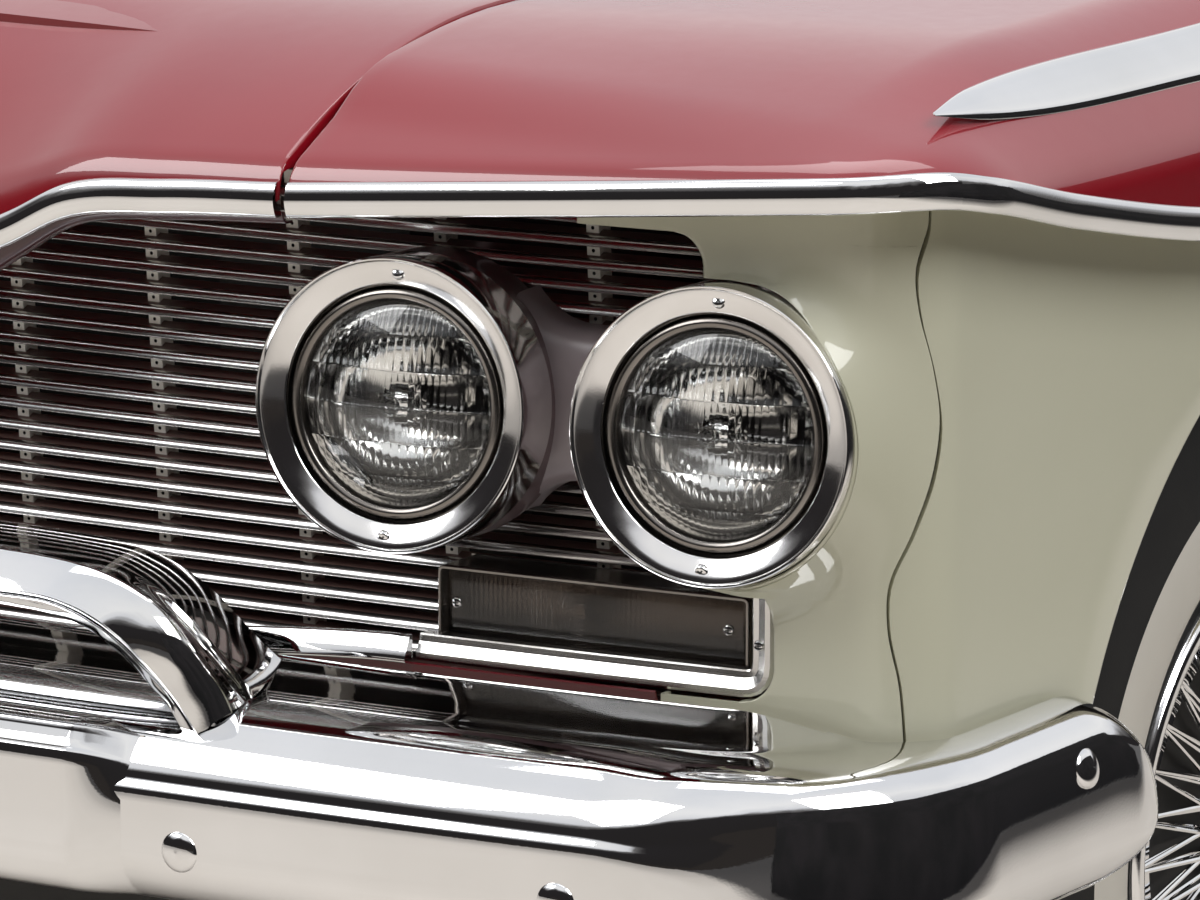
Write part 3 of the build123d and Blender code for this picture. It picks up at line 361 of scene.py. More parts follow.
def ramp(nt, fac, stops):
    color = node(nt, "ValToRGB", {"Fac": fac}, "Color")
    e = color.node.color_ramp.elements
    e[0].position, e[0].color = stops[0][0], (*stops[0][1], 1)
    e[1].position, e[1].color = stops[-1][0], (*stops[-1][1], 1)
    for p, c in stops[1:-1]:
        e.new(p).color = (*c, 1)
    return color


def mapped(nt, fac, lo, hi, lo_in=0, hi_in=1):
    return node(nt, "MapRange", {"Value": fac, "From Min": lo_in, "From Max": hi_in, "To Min": lo, "To Max": hi},
                "Result")


def grained(nt, fac, strength, distance):
    return node(nt, "Bump", {"Height": fac, "Strength": strength, "Distance": distance}, "Normal")


def coated(name, dark, light, rough=0.3, coat=1, coat_rough=0.03, grain=0.04, scale=420, ior=1.5):
    """Paint or rubber: slight colour drift, uneven sheen and a fine grain."""
    m, nt, b = new_mat(name)
    put(nt, b, {"Base Color": ramp(nt, noise(nt, 3, 4), [(0.35, dark), (0.65, light)]),
                "Roughness": mapped(nt, noise(nt, 60, 5), rough * 0.85, rough * 1.15),
                "Normal": grained(nt, noise(nt, scale, 2), grain, 0.0004),
                "Specular IOR Level": 0.25, "Coat IOR": ior, "Coat Weight": coat, "Coat Roughness": coat_rough})
    return m


def metal(name, dark, light, rough_lo, rough_hi, scratch=0.05, scale=40, grain=600, stretch=(1, 1, 1)):
    """Polished, brushed or cast metal with wiping marks and fine scratches."""
    m, nt, b = new_mat(name)
    put(nt, b, {"Base Color": ramp(nt, noise(nt, scale * 0.2, 5), [(0.3, dark), (0.7, light)]),
                "Roughness": mapped(nt, noise(nt, scale, 6, 0.6), rough_lo, rough_hi),
                "Normal": grained(nt, noise(nt, grain, 3, 0.5, stretch), scratch, 0.0002), "Metallic": 1})
    return m


def glass(name, tint, rough=0):
    m, nt, b = new_mat(name)
    light = tuple(min(1, c * 1.03) for c in tint)
    put(nt, b, {"Base Color": ramp(nt, noise(nt, 12, 3), [(0.3, tint), (0.8, light)]),
                "Transmission Weight": 1, "Roughness": rough})
    return m


RED = coated("red_paint", (0.21, 0.002, 0.008), (0.24, 0.003, 0.01), rough=0.35, ior=1.65)
# Body red for the stone shield, darkened as painted shade where it lies behind the bumper's deck
SHIELD_SHADED_RED = coated("shield_red_painted_shade", (0.11, 0.004, 0.009), (0.14, 0.006, 0.011), rough=0.4, coat=0.6)
IVORY = coated("ivory_paint", (0.56, 0.55, 0.42), (0.59, 0.58, 0.45), rough=0.35)
# Body red darkened to near black as painted shade, for the hood's edge under its lip
UNDERSIDE_SHADE_RED = coated("red_underside_painted_shade", (0.04, 0.006, 0.009), (0.06, 0.008, 0.012), rough=0.3, coat_rough=0.12)
# Maroon-mauve colour for the lamp pods, a painted reflection of the red body
POD_REFLECTION_TINT = coated("pod_satin_painted_reflection", (0.13, 0.085, 0.09), (0.16, 0.11, 0.115), rough=0.4, coat=0.8, coat_rough=0.12)
WEB = coated("web_satin", (0.27, 0.225, 0.235), (0.32, 0.27, 0.28), rough=0.4, coat=0.6, coat_rough=0.22)
BLACK = coated("chassis_black", (0.012, 0.012, 0.012), (0.03, 0.028, 0.026), 0.5, 0.2, 0.3, 0.2)
APRON = coated("apron_black", (0.015, 0.014, 0.014), (0.035, 0.032, 0.03), 0.6, 0.1, 0.4, 0.25)
CORE = coated("core_black", (0.008, 0.008, 0.008), (0.016, 0.015, 0.014), 0.7, 0, 0.4, 0.3)
RUBBER = coated("tyre_rubber", (0.01, 0.01, 0.01), (0.024, 0.023, 0.022), 0.65, 0, 0.4, 0.25, 900)
WHITEWALL = coated("whitewall_rubber", (0.52, 0.49, 0.43), (0.62, 0.59, 0.53), 0.55, 0, 0.4, 0.15, 700)
CHROME = metal("chrome", (0.8, 0.8, 0.8), (0.88, 0.88, 0.89), 0.015, 0.05)
BEZEL = metal("bezel_chrome", (0.76, 0.75, 0.74), (0.86, 0.85, 0.85), 0.06, 0.15, scale=70)
TRIM = metal("ring_steel", (0.22, 0.2, 0.185), (0.32, 0.3, 0.28), 0.16, 0.28, scratch=0.12)
BRUSHED = metal("brushed_trim", (0.72, 0.71, 0.69), (0.84, 0.83, 0.81), 0.16, 0.28, 0.15,
                stretch=(0.05, 0.05, 1.5))
ALU = metal("grille_aluminium", (0.8, 0.79, 0.78), (0.92, 0.91, 0.9), 0.16, 0.28, scratch=0.1)
# Painted shade: the rear blade of each grille bar is coloured dark brown
BLADE_SHADE = coated("blade_painted_shade", (0.15, 0.085, 0.075), (0.2, 0.12, 0.105), 0.35, 0.8, 0.1)
# Painted light: the grille uprights are coloured near-white where little light reaches them
POST = coated("post_satin_painted_light", (0.8, 0.77, 0.7), (0.88, 0.85, 0.78), 0.45, 0.2, 0.3, 0.1)
CAST = metal("cast_iron", (0.1, 0.1, 0.1), (0.2, 0.19, 0.18), 0.45, 0.7, 0.5, grain=220)
STEEL = metal("hinge_steel", (0.3, 0.3, 0.3), (0.45, 0.45, 0.45), 0.3, 0.45, 0.2)
# Painted shade for screw slots and the holes in the grille uprights
SLOT_SHADE = metal("slot_painted_shade", (0.04, 0.04, 0.04), (0.07, 0.07, 0.07), 0.4, 0.6)
MIRROR = metal("reflector", (0.9, 0.89, 0.87), (0.96, 0.95, 0.94), 0.05, 0.09, scratch=0.03)
LENS = glass("lamp_glass", (0.94, 0.95, 0.95))
PARK = glass("parking_glass", (0.46, 0.41, 0.37), rough=0.16)


# Upper body skin
def nose(d):
    """Rise of the nose curve, 0 to 1, at a distance behind the brow's front."""
    if d <= 0:
        return 0
    if d < 15:
        return sqrt(900 - (30 - d) ** 2) / NOSE_H
    if d < 262:
        return (NOSE_H - 494 + sqrt(494 ** 2 - (262 - d) ** 2)) / NOSE_H
    return 1


def crown(x):
    if x <= SEAM_X:
        return 514 - 14 * (x / SEAM_X) ** 2
    t = clamp((x - SEAM_X) / 338)
    return 500 + 13 * (1 - (1 - t) ** 2)


def edge_line(x, y):
    """Height of the lip's middle: the brow's line in front, the side's sweep behind the corner."""
    if x <= SEAM_X:
        return along(DIP, x)
    brow_line = LIP_Z + (x - SEAM_X) * LIP_RISE
    return lerp(brow_line, along(SWEEP, y), smooth((y + 1262) / 70))


def side_limit(d):
    return SIDE_X - CORNER_R + sqrt(CORNER_R ** 2 - (CORNER_R - min(d, CORNER_R)) ** 2)


def plumb_rise(e):
    """How far the side stands plumb above its lower edge."""
    over = max(0, PLUMB_Z - e)
    return over * over / (over + 12)


def roll(s):
    """Share of the height reached at a distance in from the side."""
    return 1 - (1 - clamp(s / CREST_IN)) ** 1.85


def skin_z(x, d, s):
    """Height of the upper skin at x, d behind the brow and s inside the side's outline."""
    y = bow_y(x, d)
    n = nose(d)
    g = roll(s)
    c = n * g / max(n + g - n * g, 1e-6) ** 1.5 if n * g > 0 else 0
    t = TOP_Z + (crown(x) - TOP_Z) * smooth((d - 100) / 800)
    e = edge_line(x, y)
    rise = plumb_rise(e) * smooth((y + 1262) / 70) if x > SEAM_X else 0
    soft = min(12, 0.7 * rise)
    round_over = soft * sqrt(1 - (1 - clamp(s / max(soft, 0.1))) ** 2)
    return e + rise - soft + round_over + (t - e - rise) * c


def skin_rows(x0, x1, y_end, n_top, side):
    """Rows from the brow to the rear. Each row runs outwards, and down the side when side is set."""
    rows = []
    near = [0, 0.4, 1.2, 2.5, 4.5, 7, 10, 14, 19, 25, 32, 40, 49, 59, 70, 82, 95, 110, 127, 146, 168, 193, 222,
            255, 290]
    for d_ref in near + spread(330, 1331, 26):
        lim = side_limit(d_ref)
        xs = spread(x0, lim - CREST_IN if side else x1, n_top)
        if side:
            xs += [lim - s for s in (112, 104, 95, 85, 75, 65, 56, 47, 39, 31, 24, 18, 13, 10, 7, 4.5, 2.5, 1, 0.3,
                                     0)]
        row = []
        for x in xs:
            far = BOW_R - hypot(x, BOW_Y - y_end)
            d = d_ref if d_ref <= 290 else lerp(290, far, (d_ref - 290) / 1041)
            row.append(at(x, d, skin_z(x, d, lim - x if side else 500)))
        if side:
            x, y, z = row[-1]
            row += [(x, y, lerp(z, edge_line(x, y), t)) for t in (0.25, 0.5, 0.75, 1)]
        rows.append(row)
    return rows


def folded(rows, at_start):
    """Adds a rounded fold down along the seam."""
    out = []
    sign = 1 if at_start else -1
    for k, row in enumerate(rows):
        row = row if at_start else row[::-1]
        x, y, z = row[0]
        depth = lerp(1, 16, smooth((k - 3) / 8))
        fold = [(x, y, z - depth), (x, y, z - depth * 0.25), (x + sign * 0.3, y, z - depth * 0.1),
                (x + sign * 1.2, y, z - depth * 0.02)]
        row = fold + [(x + sign * 2.8, y, z)] + row[1:]
        out.append(row if at_start else row[::-1])
    return out


upper = Geo().grid(folded(skin_rows(SEAM_X + GAP, 0, 0, 26, True), True))
hood = Geo().grid(folded(skin_rows(0, SEAM_X - GAP, -24, 40, False), False))


# Ivory side, in rays from the wheel arch to its outline
def ivory_top(x, y):
    return edge_line(x, y) - 2


def side_face():
    front_y = -1150
    p_rear = (ARCH_Y + ARCH_R * cos(asin((-190 - AXLE_Z) / ARCH_R)), -190)
    p_front = (ARCH_Y - ARCH_R * cos(asin((-45 - AXLE_Z) / ARCH_R)), -45)
    outline = [p_rear, (0, -190)] + [(y, ivory_top(WHITE_X, y)) for y in spread(0, front_y, 41)]
    outline += [(front_y, z) for z in spread(ivory_top(WHITE_X, front_y), -45, 20)[1:]] + [p_front]

    def reach(a):
        """Distance from the arch's centre to the outline along an angle."""
        dy, dz = cos(a), sin(a)
        best = ARCH_R
        for (y0, z0), (y1, z1) in zip(outline, outline[1:]):
            ey, ez = y1 - y0, z1 - z0
            den = dy * ez - dz * ey
            if abs(den) > 1e-9:
                t = ((y0 - ARCH_Y) * ez - (z0 - AXLE_Z) * ey) / den
                u = ((y0 - ARCH_Y) * dz - (z0 - AXLE_Z) * dy) / den
                if -1e-6 <= u <= 1 + 1e-6:
                    best = max(best, t)
        return best

    angles = spread(atan2(-190 - AXLE_Z, p_rear[0] - ARCH_Y), atan2(-45 - AXLE_Z, p_front[0] - ARCH_Y), 90)
    for y, z in ((0, -190), (0, outline[2][1]), (front_y, ivory_top(WHITE_X, front_y)), (front_y, -45)):
        a = atan2(z - AXLE_Z, y - ARCH_Y)
        angles[min(range(90), key=lambda i: abs(angles[i] - a))] = a
    rows = []
    for a in angles:
        row = [(WHITE_X + dx, ARCH_Y + (ARCH_R + dr) * cos(a), AXLE_Z + (ARCH_R + dr) * sin(a))
               for dr, dx in ((0, -22), (0, -6), (0.8, -2.4), (2.8, -0.5), (5, 0))]
        for t in spread(0, 1, 9)[1:]:
            r = lerp(ARCH_R + 5, max(reach(a), ARCH_R + 5), t)
            row.append((WHITE_X, ARCH_Y + r * cos(a), AXLE_Z + r * sin(a)))
        rows.append(row)
    return Geo().grid(rows)


face_line = [p for p, _ in plan_path(FACE_IN, WHITE_X, FACE_R, 700, -1150, 40, 24, 3)]
face_run = lengths(face_line)


def on_face(s):
    """Point of the ivory front's plan line at a distance along it."""
    return at_length(face_line, face_run, s)


def find(axis, value):
    """Distance along the plan line at which x or y reaches a value."""
    return edge_of(lambda s: on_face(s)[axis] >= value, 0, face_run[-1])


def fender_corner():
    rows = []
    for k in range(61):
        s0 = find(1, along(SEAM_LINE, lerp(-45, 430, k / 60))) + 1
        row = []
        for t in spread(0, 1, 13):
            x, y = on_face(lerp(s0, face_run[-1], t))
            row.append((x, y, lerp(-45, ivory_top(x, y), k / 60)))
        x, y, z = row[0]
        row.insert(0, (x - 5, y + 4, z))
        rows.append(row)
    return Geo().grid(rows)


HOLE = (LAMP_X[1] - 5, LAMP_Z - 2.3, 96.4)


def collar(x, z):
    """How far the surround sweeps forward beside the outer lamp."""
    dx, dz = x - HOLE[0], z - HOLE[1]
    turn = atan2(dz, dx) * 180 / pi
    near = clamp(1 - (hypot(dx, dz) - HOLE[2]) / 36)
    return 25 * near ** 2.2 * smooth((78 - turn) / 50) * smooth((turn + 105) / 35)


def surround_zone(z0, z1, n, x_in, to_top=False, rolled=5):
    """Part of the surround between two heights, from x_in(z) out to the seam, with its inner edge rolled in."""
    rows = []
    for k in range(n + 1):
        z = lerp(z0, z1, k / n)
        s0 = find(0, x_in(z))
        s1 = find(1, along(SEAM_LINE, z)) - 1
        row = []
        spots = [(s0 + rolled * (1 - sin(radians(a))), rolled * (1 - cos(radians(a))) + more)
                 for a, more in ((90, 8), (90, 0), (70, 0), (50, 0), (32, 0), (16, 0))]
        spots += [(lerp(s0 + rolled, s1, t * (0.45 + 0.55 * t)), 0) for t in spread(0, 1, 30)]
        for s, back in spots:
            x, y = on_face(s)
            row.append((x, y + back - collar(x, z), lerp(z0, ivory_top(x, y), k / n) if to_top else z))
        x, y, z = row[-1]
        row.append((x - 3, y + 5, z))
        rows.append(row)
    return Geo().grid(rows)


def beside_lamp(z):
    cx, cz, r = HOLE
    return cx + chord(r, z - cz)


def beside_strip(z):
    return 825 + chord(24, max(0, 118.5 - z))


def opening_end(z):
    up = clamp((z - 370) / 22)
    return 799 - 22 * (1 - sqrt(1 - up * up))


low, high = HOLE[1] - HOLE[2], HOLE[1] + HOLE[2]
surround = Geo()
for zone in ((-45, 94.5, 24, lambda z: 772, False, 1.5), (94.5, 118.5, 16, beside_strip, False, 2.5),
             (118.5, 166, 8, beside_strip, False, 2.5), (166, low, 3, lambda z: 799),
             (low, high, 110, beside_lamp, False, 3), (high, 392, 16, opening_end),
             (392, 428, 10, lambda z: 712, True)):
    surround.add(surround_zone(*zone))
side = side_face().add(fender_corner())


def soffit():
    """The closed underside between the lip and the ivory, from the grille's end to the rear."""
    rows = []
    for (x, y), (nx, ny) in plan_path(2, SIDE_X - 2, CORNER_R - 2, 712, -2, 24, 20, 40):
        z = edge_line(x, y) - 3
        rows.append([(x - nx * t, y - ny * t, z) for t in (0, 18, 37)])
    return Geo().grid(rows)


def hand(geo, name):
    """The left piece, or its mirror image for the right."""
    return geo.mirrored() if name == "right" else geo


for name in ("left", "right"):
    piece("fender_skin_" + name, hand(upper, name), RED, ("fender_" + name,), solid=2.5)
    piece("fender_side_" + name, hand(side, name), IVORY, (), solid=2.5)
    piece("fender_soffit_" + name, hand(soffit(), name), IVORY, (), solid=1.5)
    piece("surround_" + name, hand(surround, name), IVORY, ("lamp_surround_" + name,), solid=2.5)
piece("hood_panel", hood.both(), RED, ("hood_skin",), solid=2.5, body="hood")

# Bright lip: a rounded ridge between an upper face and a lower one, as (outward, up)
LIP_SECTION = ((-5.5, 11.3), (-1.2, 11.5), (0.6, 10.9), (1.9, 9.4), (3, 7), (3.9, 4.4), (4.5, 2.4), (4.85, 0.8),
               (4.9, -0.6), (4.65, -2.2), (4.2, -4.2), (3.4, -7), (2.4, -9.6), (1.2, -11), (-0.5, -11.5),
               (-5.5, -11.2))
front_path = plan_path(0, SIDE_X, CORNER_R, SEAM_X + GAP + 0.4, 0, 40, 40, 110)
split = next(i for i, (p, _) in enumerate(front_path) if p[1] > -1217)
brow = strip_along(front_path[:split + 1], edge_line, LIP_SECTION)
side_lip = strip_along(front_path[split:], edge_line, LIP_SECTION)
hood_path = [q for q in plan_path(0, SIDE_X, CORNER_R, 0, 0, 180, 8, 4) if q[0][0] <= SEAM_X - GAP]
hood_lip = strip_along(hood_path, edge_line, LIP_SECTION)
for name in ("left", "right"):
    piece("brow_" + name, hand(brow, name), CHROME, ("brow_moulding_" + name,), sharp=60)
piece("side_strips", side_lip.both(), CHROME, ("side_mouldings",), sharp=60)
piece("hood_lip", hood_lip.both(), CHROME, ("hood_lip_moulding",), sharp=60, body="hood")


def under_lip():
    """The painted edge that shows below the hood's lip, its red darkened to near black as painted shade."""
    rows = []
    for (x, y), (nx, ny) in bow_path(9, -SEAM_X + 6, SEAM_X - 6, 121):
        z = along(DIP, abs(x)) - 9
        deep = lerp(23, 7, smooth((abs(x) - 230) / 120))
        rows.append([(x - nx * o, y - ny * o, z - deep * t)
                     for o, t in ((0, 0), (1, 0.4), (2.5, 0.8), (5, 1), (12, 1))])
    return Geo().grid(rows)


piece("hood_lip_underside", under_lip(), UNDERSIDE_SHADE_RED, (), solid=-1.5, body="hood")


def side_skin(y, z):
    """X of the upper side at a height, and its outward direction."""
    e = along(SWEEP, y)
    b = e + plumb_rise(e)
    t = TOP_Z + (crown(860) - TOP_Z) * smooth((y + 1230) / 800)
    g = clamp((z - b) / (t - b))
    s = CREST_IN * (1 - (1 - g) ** (1 / 1.85))
    slope = (t - b) * 1.85 / CREST_IN * max(1 - s / CREST_IN, 0.02) ** 0.85
    length = sqrt(1 + slope * slope)
    return SIDE_X - s, slope / length, 1 / length


def spear():
    """A pointed bright bar on the upper side."""
    rows = []
    for y in [-1178 + 1174 * (i / 70) ** 1.35 for i in range(71)]:
        top = along(((-1178, 472.5), (-1120, 479), (-850, 484), (-400, 489), (0, 491)), y)
        low_edge = along(((-1178, 471), (-1120, 462), (-850, 455), (-400, 451), (0, 449)), y)
        half = (top - low_edge) / 2
        row = []
        for a in spread(-90, 90, 11):
            z = (top + low_edge) / 2 + half * sin(radians(a))
            x, nx, nz = side_skin(y, z)
            o = 5.5 * cos(radians(a)) * min(1, half / 8) - 0.8
            row.append((x + nx * o, y, z + nz * o))
        rows.append(row)
    return Geo().grid(rows)


piece("spears", spear().both(), CHROME, ("spear_mouldings",), solid=1)


# Lamps
def lamp_matrix(x):
    return (Matrix.Translation(at(x, LAMP_FACE, LAMP_Z))
            @ Matrix.Rotation(radians(LAMP_SWEEP), 4, "Z") @ Matrix.Rotation(radians(-LAMP_LEAN), 4, "X"))


# Dished face inside a thin bead, then the side wall
bezel = Geo().lathe([(77, 12), (77, 9.4), (77.3, 8.9), (77.9, 8.5), (82, 6.2), (87, 3.7), (91.2, 2),
                     (91.9, 2), (92.3, 1.4), (93, 0.5), (93.9, 0.3), (94.6, 0.9), (95, 2.2), (95, 24),
                     (95, 43.4), (94.4, 44), (93.2, 44), (93.2, 11.5), (77, 12)], 160)


def screw(radius, depth):
    """A domed screw head with a cross slot, facing -Y; the slot is a flat face coloured dark as painted shade."""
    g = Geo()
    g.lathe([(radius, depth), (radius, 0.4), (radius * 0.9, -0.4), (radius * 0.72, -0.9)], 28)
    a, b, c = radius * 0.55, radius * 0.13, radius * 0.72
    rim = [(c * cos(2 * pi * k / 28), -0.9, c * sin(2 * pi * k / 28)) for k in range(28)]
    g.face(rim)
    cross = ((a, b), (b, b), (b, a), (-b, a), (-b, b), (-a, b), (-a, -b), (-b, -b), (-b, -a), (b, -a), (b, -b),
             (a, -b))
    g.face([(x, -0.95, z) for x, z in cross], 1)
    return g


# The pods behind the bezels, coloured maroon-mauve as a painted reflection of the red body
pod = Geo().lathe([(92.8, 40), (92.5, 50), (93.2, 60), (94.6, 70), (95, 76), (91, 77), (89, 76), (89, 16)], 110)
ring = Geo().lathe(rounded([(66, 18), (66.2, 13.5), (67.6, 10.4), (70.4, 9.2), (73.2, 10.4), (74.6, 13.2),
                            (75.4, 14.6), (90, 14.8), (90, 16.4), (76, 17), (66, 18.1)], 1.2), 120)


def dome(r):
    """The lens's front curve."""
    sag, edge = 0.2, 18.2
    big = (70 ** 2 + (edge - sag) ** 2) / (2 * (edge - sag))
    return sag + big - sqrt(big * big - r * r)


def lens_geo():
    """A smooth domed front; the back carries upright flutes in bands, as on a sealed beam."""
    g = Geo()
    radius = 69.6
    lines = (-69.6, -47, -24.5, -2, 22, 44.5, 69.6)
    pitches = (4.2, 5.6, 4.2, 4.2, 5.6, 4.2)
    shares = (0, 0.14, 0.3, 0.5, 0.7, 0.86, 1)
    for (z0, z1), pitch, step in zip(zip(lines, lines[1:]), pitches, (0, 0.25, 0, 0.25, 0, 0.25)):
        n = int(radius / pitch) + 1
        cols = [pitch * (i + t) for i in range(-n, n) for t in shares[:-1]] + [pitch * n]
        rows = []
        for z in (z0, z0 + 1.1, lerp(z0, z1, 0.35), lerp(z0, z1, 0.65), z1 - 1.1, z1):
            half = chord(radius, z)
            lift = step + (0.5 if z in (z0, z1) else 0)
            row = []
            for x in cols:
                ph = (x / pitch) % 1
                x = clamp(x, -half, half)
                r = hypot(x, z)
                wave = 1.1 * ph * (1 - ph) * pitch / 4.2
                row.append((x, dome(r) + 3.4 - (wave + lift) * clamp((radius - r) / 4), z))
            rows.append(row)
        g.grid(rows)
    front = [(radius * k / 26 + 0.01, dome(radius * k / 26)) for k in range(27)]
    g.lathe(front + [(radius, dome(radius) + 3.4)], 110)
    return g


boss = Geo().lathe([(7.2, 3.9), (7, 5.2), (5.4, 5.4), (4.8, 4.6), (3.2, 4.4), (2.6, 5.4), (0.01, 5.5)], 36)
bowl = Geo().lathe([(69.5, 21.6)] + [(14 + 55 * sqrt(1 - t * t), 21.8 + 49 * t) for t in spread(0, 1, 24)]
                   + [(0.01, 71)], 72)
cap = Geo().lathe([(0.01, 30), (6, 30.6), (10.5, 33.5), (12, 38), (12, 46), (11.2, 46), (11.2, 38), (9.6, 34.5),
                   (0.01, 32)], 40)
cap.add(tube([(0, 45, -11.6), (0, 60, -12), (0, 70, -13)], 1.6))

screws = Geo()
for turn in (2, 182):
    tip = Matrix.Rotation(radians(turn), 4, "Y") @ Matrix.Translation((0, 4.1, 85.6))
    tip = tip @ Matrix.Rotation(radians(-27), 4, "X") @ Matrix.Rotation(radians(35), 4, "Y")
    screws.add(screw(4.3, 3), tip)
for name, geo, mats, replaced, slot, sharp, solid in (
        ("lamp_pod_shells", pod, POD_REFLECTION_TINT, ("lamp_pods",), "pod_maroon", 50, 0),
        ("lamp_bezel_rims", bezel, BEZEL, ("lamp_bezels",), "bright_chrome", 30, 0),
        ("lamp_retaining_rings", ring, TRIM, ("lamp_rings",), "bright_chrome", 50, 0),
        ("lamp_lens_glass", lens_geo().add(boss), LENS, ("lamp_lenses",), "lamp_glass", 28, 0),
        ("lamp_reflectors", bowl, MIRROR, ("lamp_bowls",), "reflector", 40, -0.8),
        ("lamp_bulb_shields", cap, MIRROR, (), "reflector", 50, 0),
        ("lamp_screws", screws, [CHROME, SLOT_SHADE], (), "bright_chrome", 50, 0)):
    pair = Geo()
    for x in LAMP_X:
        pair.add(geo, lamp_matrix(x))
    piece(name, pair.both(), mats, replaced, sharp, solid)


def web_geo():
    """The satin web that joins the two pods of a pair, flared into both."""
    rows = []
    for t in spread(-1, 1, 25):
        x = lerp(652, 752, (t + 1) / 2)
        half = 50 + 22 * abs(t) ** 3
        front = 66 - 8 * abs(t) ** 2.5
        row = [at(x, 98, LAMP_Z - 3.5 - half)]
        for a in spread(-90, 90, 19):
            back = front + 26 * (1 - cos(radians(a)) ** 0.55)
            row.append(at(x, back, LAMP_Z - 3.5 + half * sin(radians(a))))
        row.append(at(x, 98, LAMP_Z - 3.5 + half))
        rows.append(row)
    return Geo().grid(rows, loop_u=True)


piece("lamp_web_panels", web_geo().both(), WEB, ("lamp_webs",), 60)


# Grille
def grille_in(z):
    return 105 + (240 - z) * 0.056


# A bar's closed section as (behind its front, up): bright rounded front, then a blade rising to the rear that is
# coloured dark brown as painted shade
BAR = ((1.8, -3.6), (0.6, -3.4), (0, -2.6), (0.3, -1.3), (1, 0.1), (2, 1.3), (3.3, 2.3), (5, 3.1),
       (12, 6.3), (12, 4.6))
BAR_MATS = (0, 0, 0, 0, 0, 0, 0, 1, 1, 1)
BAR_COUNT, BAR_LOW, BAR_PITCH, BAR_HALF = 22, 71.8, 14.9, 807
bars = Geo()
for i in range(BAR_COUNT):
    z = BAR_LOW + BAR_PITCH * i
    b = grille_in(z)
    bars.bar([[at(x, b + o, z + h) for o, h in BAR] for x in spread(-BAR_HALF, BAR_HALF, 61)], BAR_MATS, 1)
piece("grille_blades", bars, [ALU, BLADE_SHADE], ("grille_bars",), 45)

# Uprights between the bars, coloured near-white as painted light where little light reaches them, with a small hole
# in each gap painted dark inside as shade
POST_COUNT, POST_X, POST_PITCH, POST_IN, POST_DEEP, HOLE_DEEP = 7, 22, 110.5, 8, 13, 6
posts = Geo()
levels = [31.5]
for i in range(BAR_COUNT - 1):
    levels += [77.7 + BAR_PITCH * i, 80.9 + BAR_PITCH * i]
levels.append(398)


def post_face(corners, mat=0):
    """A face through (x, z, behind the post's front) corners."""
    posts.face([(x, bow_y(x, grille_in(z) + POST_IN + deep), z) for x, z, deep in corners], mat)


for k in range(POST_COUNT):
    x = POST_X + POST_PITCH * k
    cols = (x - 4.5, x - 1.6, x + 1.6, x + 4.5)
    for j, (z0, z1) in enumerate(zip(levels, levels[1:])):
        for i, (x0, x1) in enumerate(zip(cols, cols[1:])):
            if j % 2 == 0 or i != 1:
                post_face([(x0, z0, 0), (x1, z0, 0), (x1, z1, 0), (x0, z1, 0)])
                continue
            zc = (z0 + z1) / 2
            hole = [(x + 1.25 * cos(radians(45 + 45 * q)), zc + 1.25 * sin(radians(45 + 45 * q)))
                    for q in range(8)]
            box = [(x1, z1), (x, z1), (x0, z1), (x0, zc), (x0, z0), (x, z0), (x1, z0), (x1, zc)]
            for q in range(8):
                a, b, e, f = hole[q], hole[(q + 1) % 8], box[q], box[(q + 1) % 8]
                post_face([(*e, 0), (*f, 0), (*b, 0), (*a, 0)])
                post_face([(*a, 0), (*b, 0), (*b, HOLE_DEEP), (*a, HOLE_DEEP)], 1)
            post_face([(*q, HOLE_DEEP) for q in hole], 1)
    x0, x1, z0, z1, deep = cols[0], cols[3], levels[0], levels[-1], POST_DEEP
    for px in (x0, x1):
        post_face([(px, z0, 0), (px, z1, 0), (px, z1, deep), (px, z0, deep)])
    post_face([(x0, z0, deep), (x1, z0, deep), (x1, z1, deep), (x0, z1, deep)])
    for z in (z0, z1):
        post_face([(x0, z, 0), (x1, z, 0), (x1, z, deep), (x0, z, deep)])
piece("grille_uprights", posts.both(), [POST, SLOT_SHADE], ("grille_posts",), 30)

# Lower grille moulding, parking lamps and stone shield
LOW_LINE = ((0, 60), (190, 62), (279, 72), (360, 85), (485, 98.5), (579, 104.5), (900, 104.5))
LOW_SECTION = ((-5.5, 8.6), (-3.6, 9), (-2.4, 8.8), (-1, 7.2), (4.4, -3.6), (5.2, -5.8), (4.9, -7.6),
               (3.2, -8.9), (0.6, -9.2), (-5.5, -9))
low_strip = strip_along(bow_path(39, -593.6, 593.6, 121), lambda x, y: along(LOW_LINE, abs(x)), LOW_SECTION)
piece("grille_lower_strip", low_strip, CHROME, ("grille_lower_moulding",), sharp=50)


def frame_band(points, behind, section, closed=True):
    """Sweeps (across, out) points along an outline of (x, z) points that lies on the bow."""
    n = len(points)
    rows = []
    for i, (x, z) in enumerate(points):
        a = points[i - 1] if (i or closed) else points[i]
        b = points[(i + 1) % n] if (i < n - 1 or closed) else points[i]
        t = Vector((b[0] - a[0], b[1] - a[1])).normalized()
        rows.append([(x + t.y * w, bow_y(x + t.y * w, behind - o), z - t.x * w) for w, o in section])
    return Geo().grid(rows, loop_u=True, loop_v=True) if closed else Geo().bar(rows)


park_line = dense(rounded([(594.6, 104.5), (837.5, 104.5), (837.5, 163)], 14))
band = [(8.6, -8), (8.8, 2), (8.2, 4.6), (6.4, 6), (3, 6.2), (-3.6, 1.8), (-7.6, 1.2), (-8.6, 0.4), (-8.6, -8)]
park_strip = frame_band(park_line, 52, band, closed=False)
piece("parking_strips", park_strip.both(), BRUSHED, ("parking_lamp_mouldings",), sharp=25)

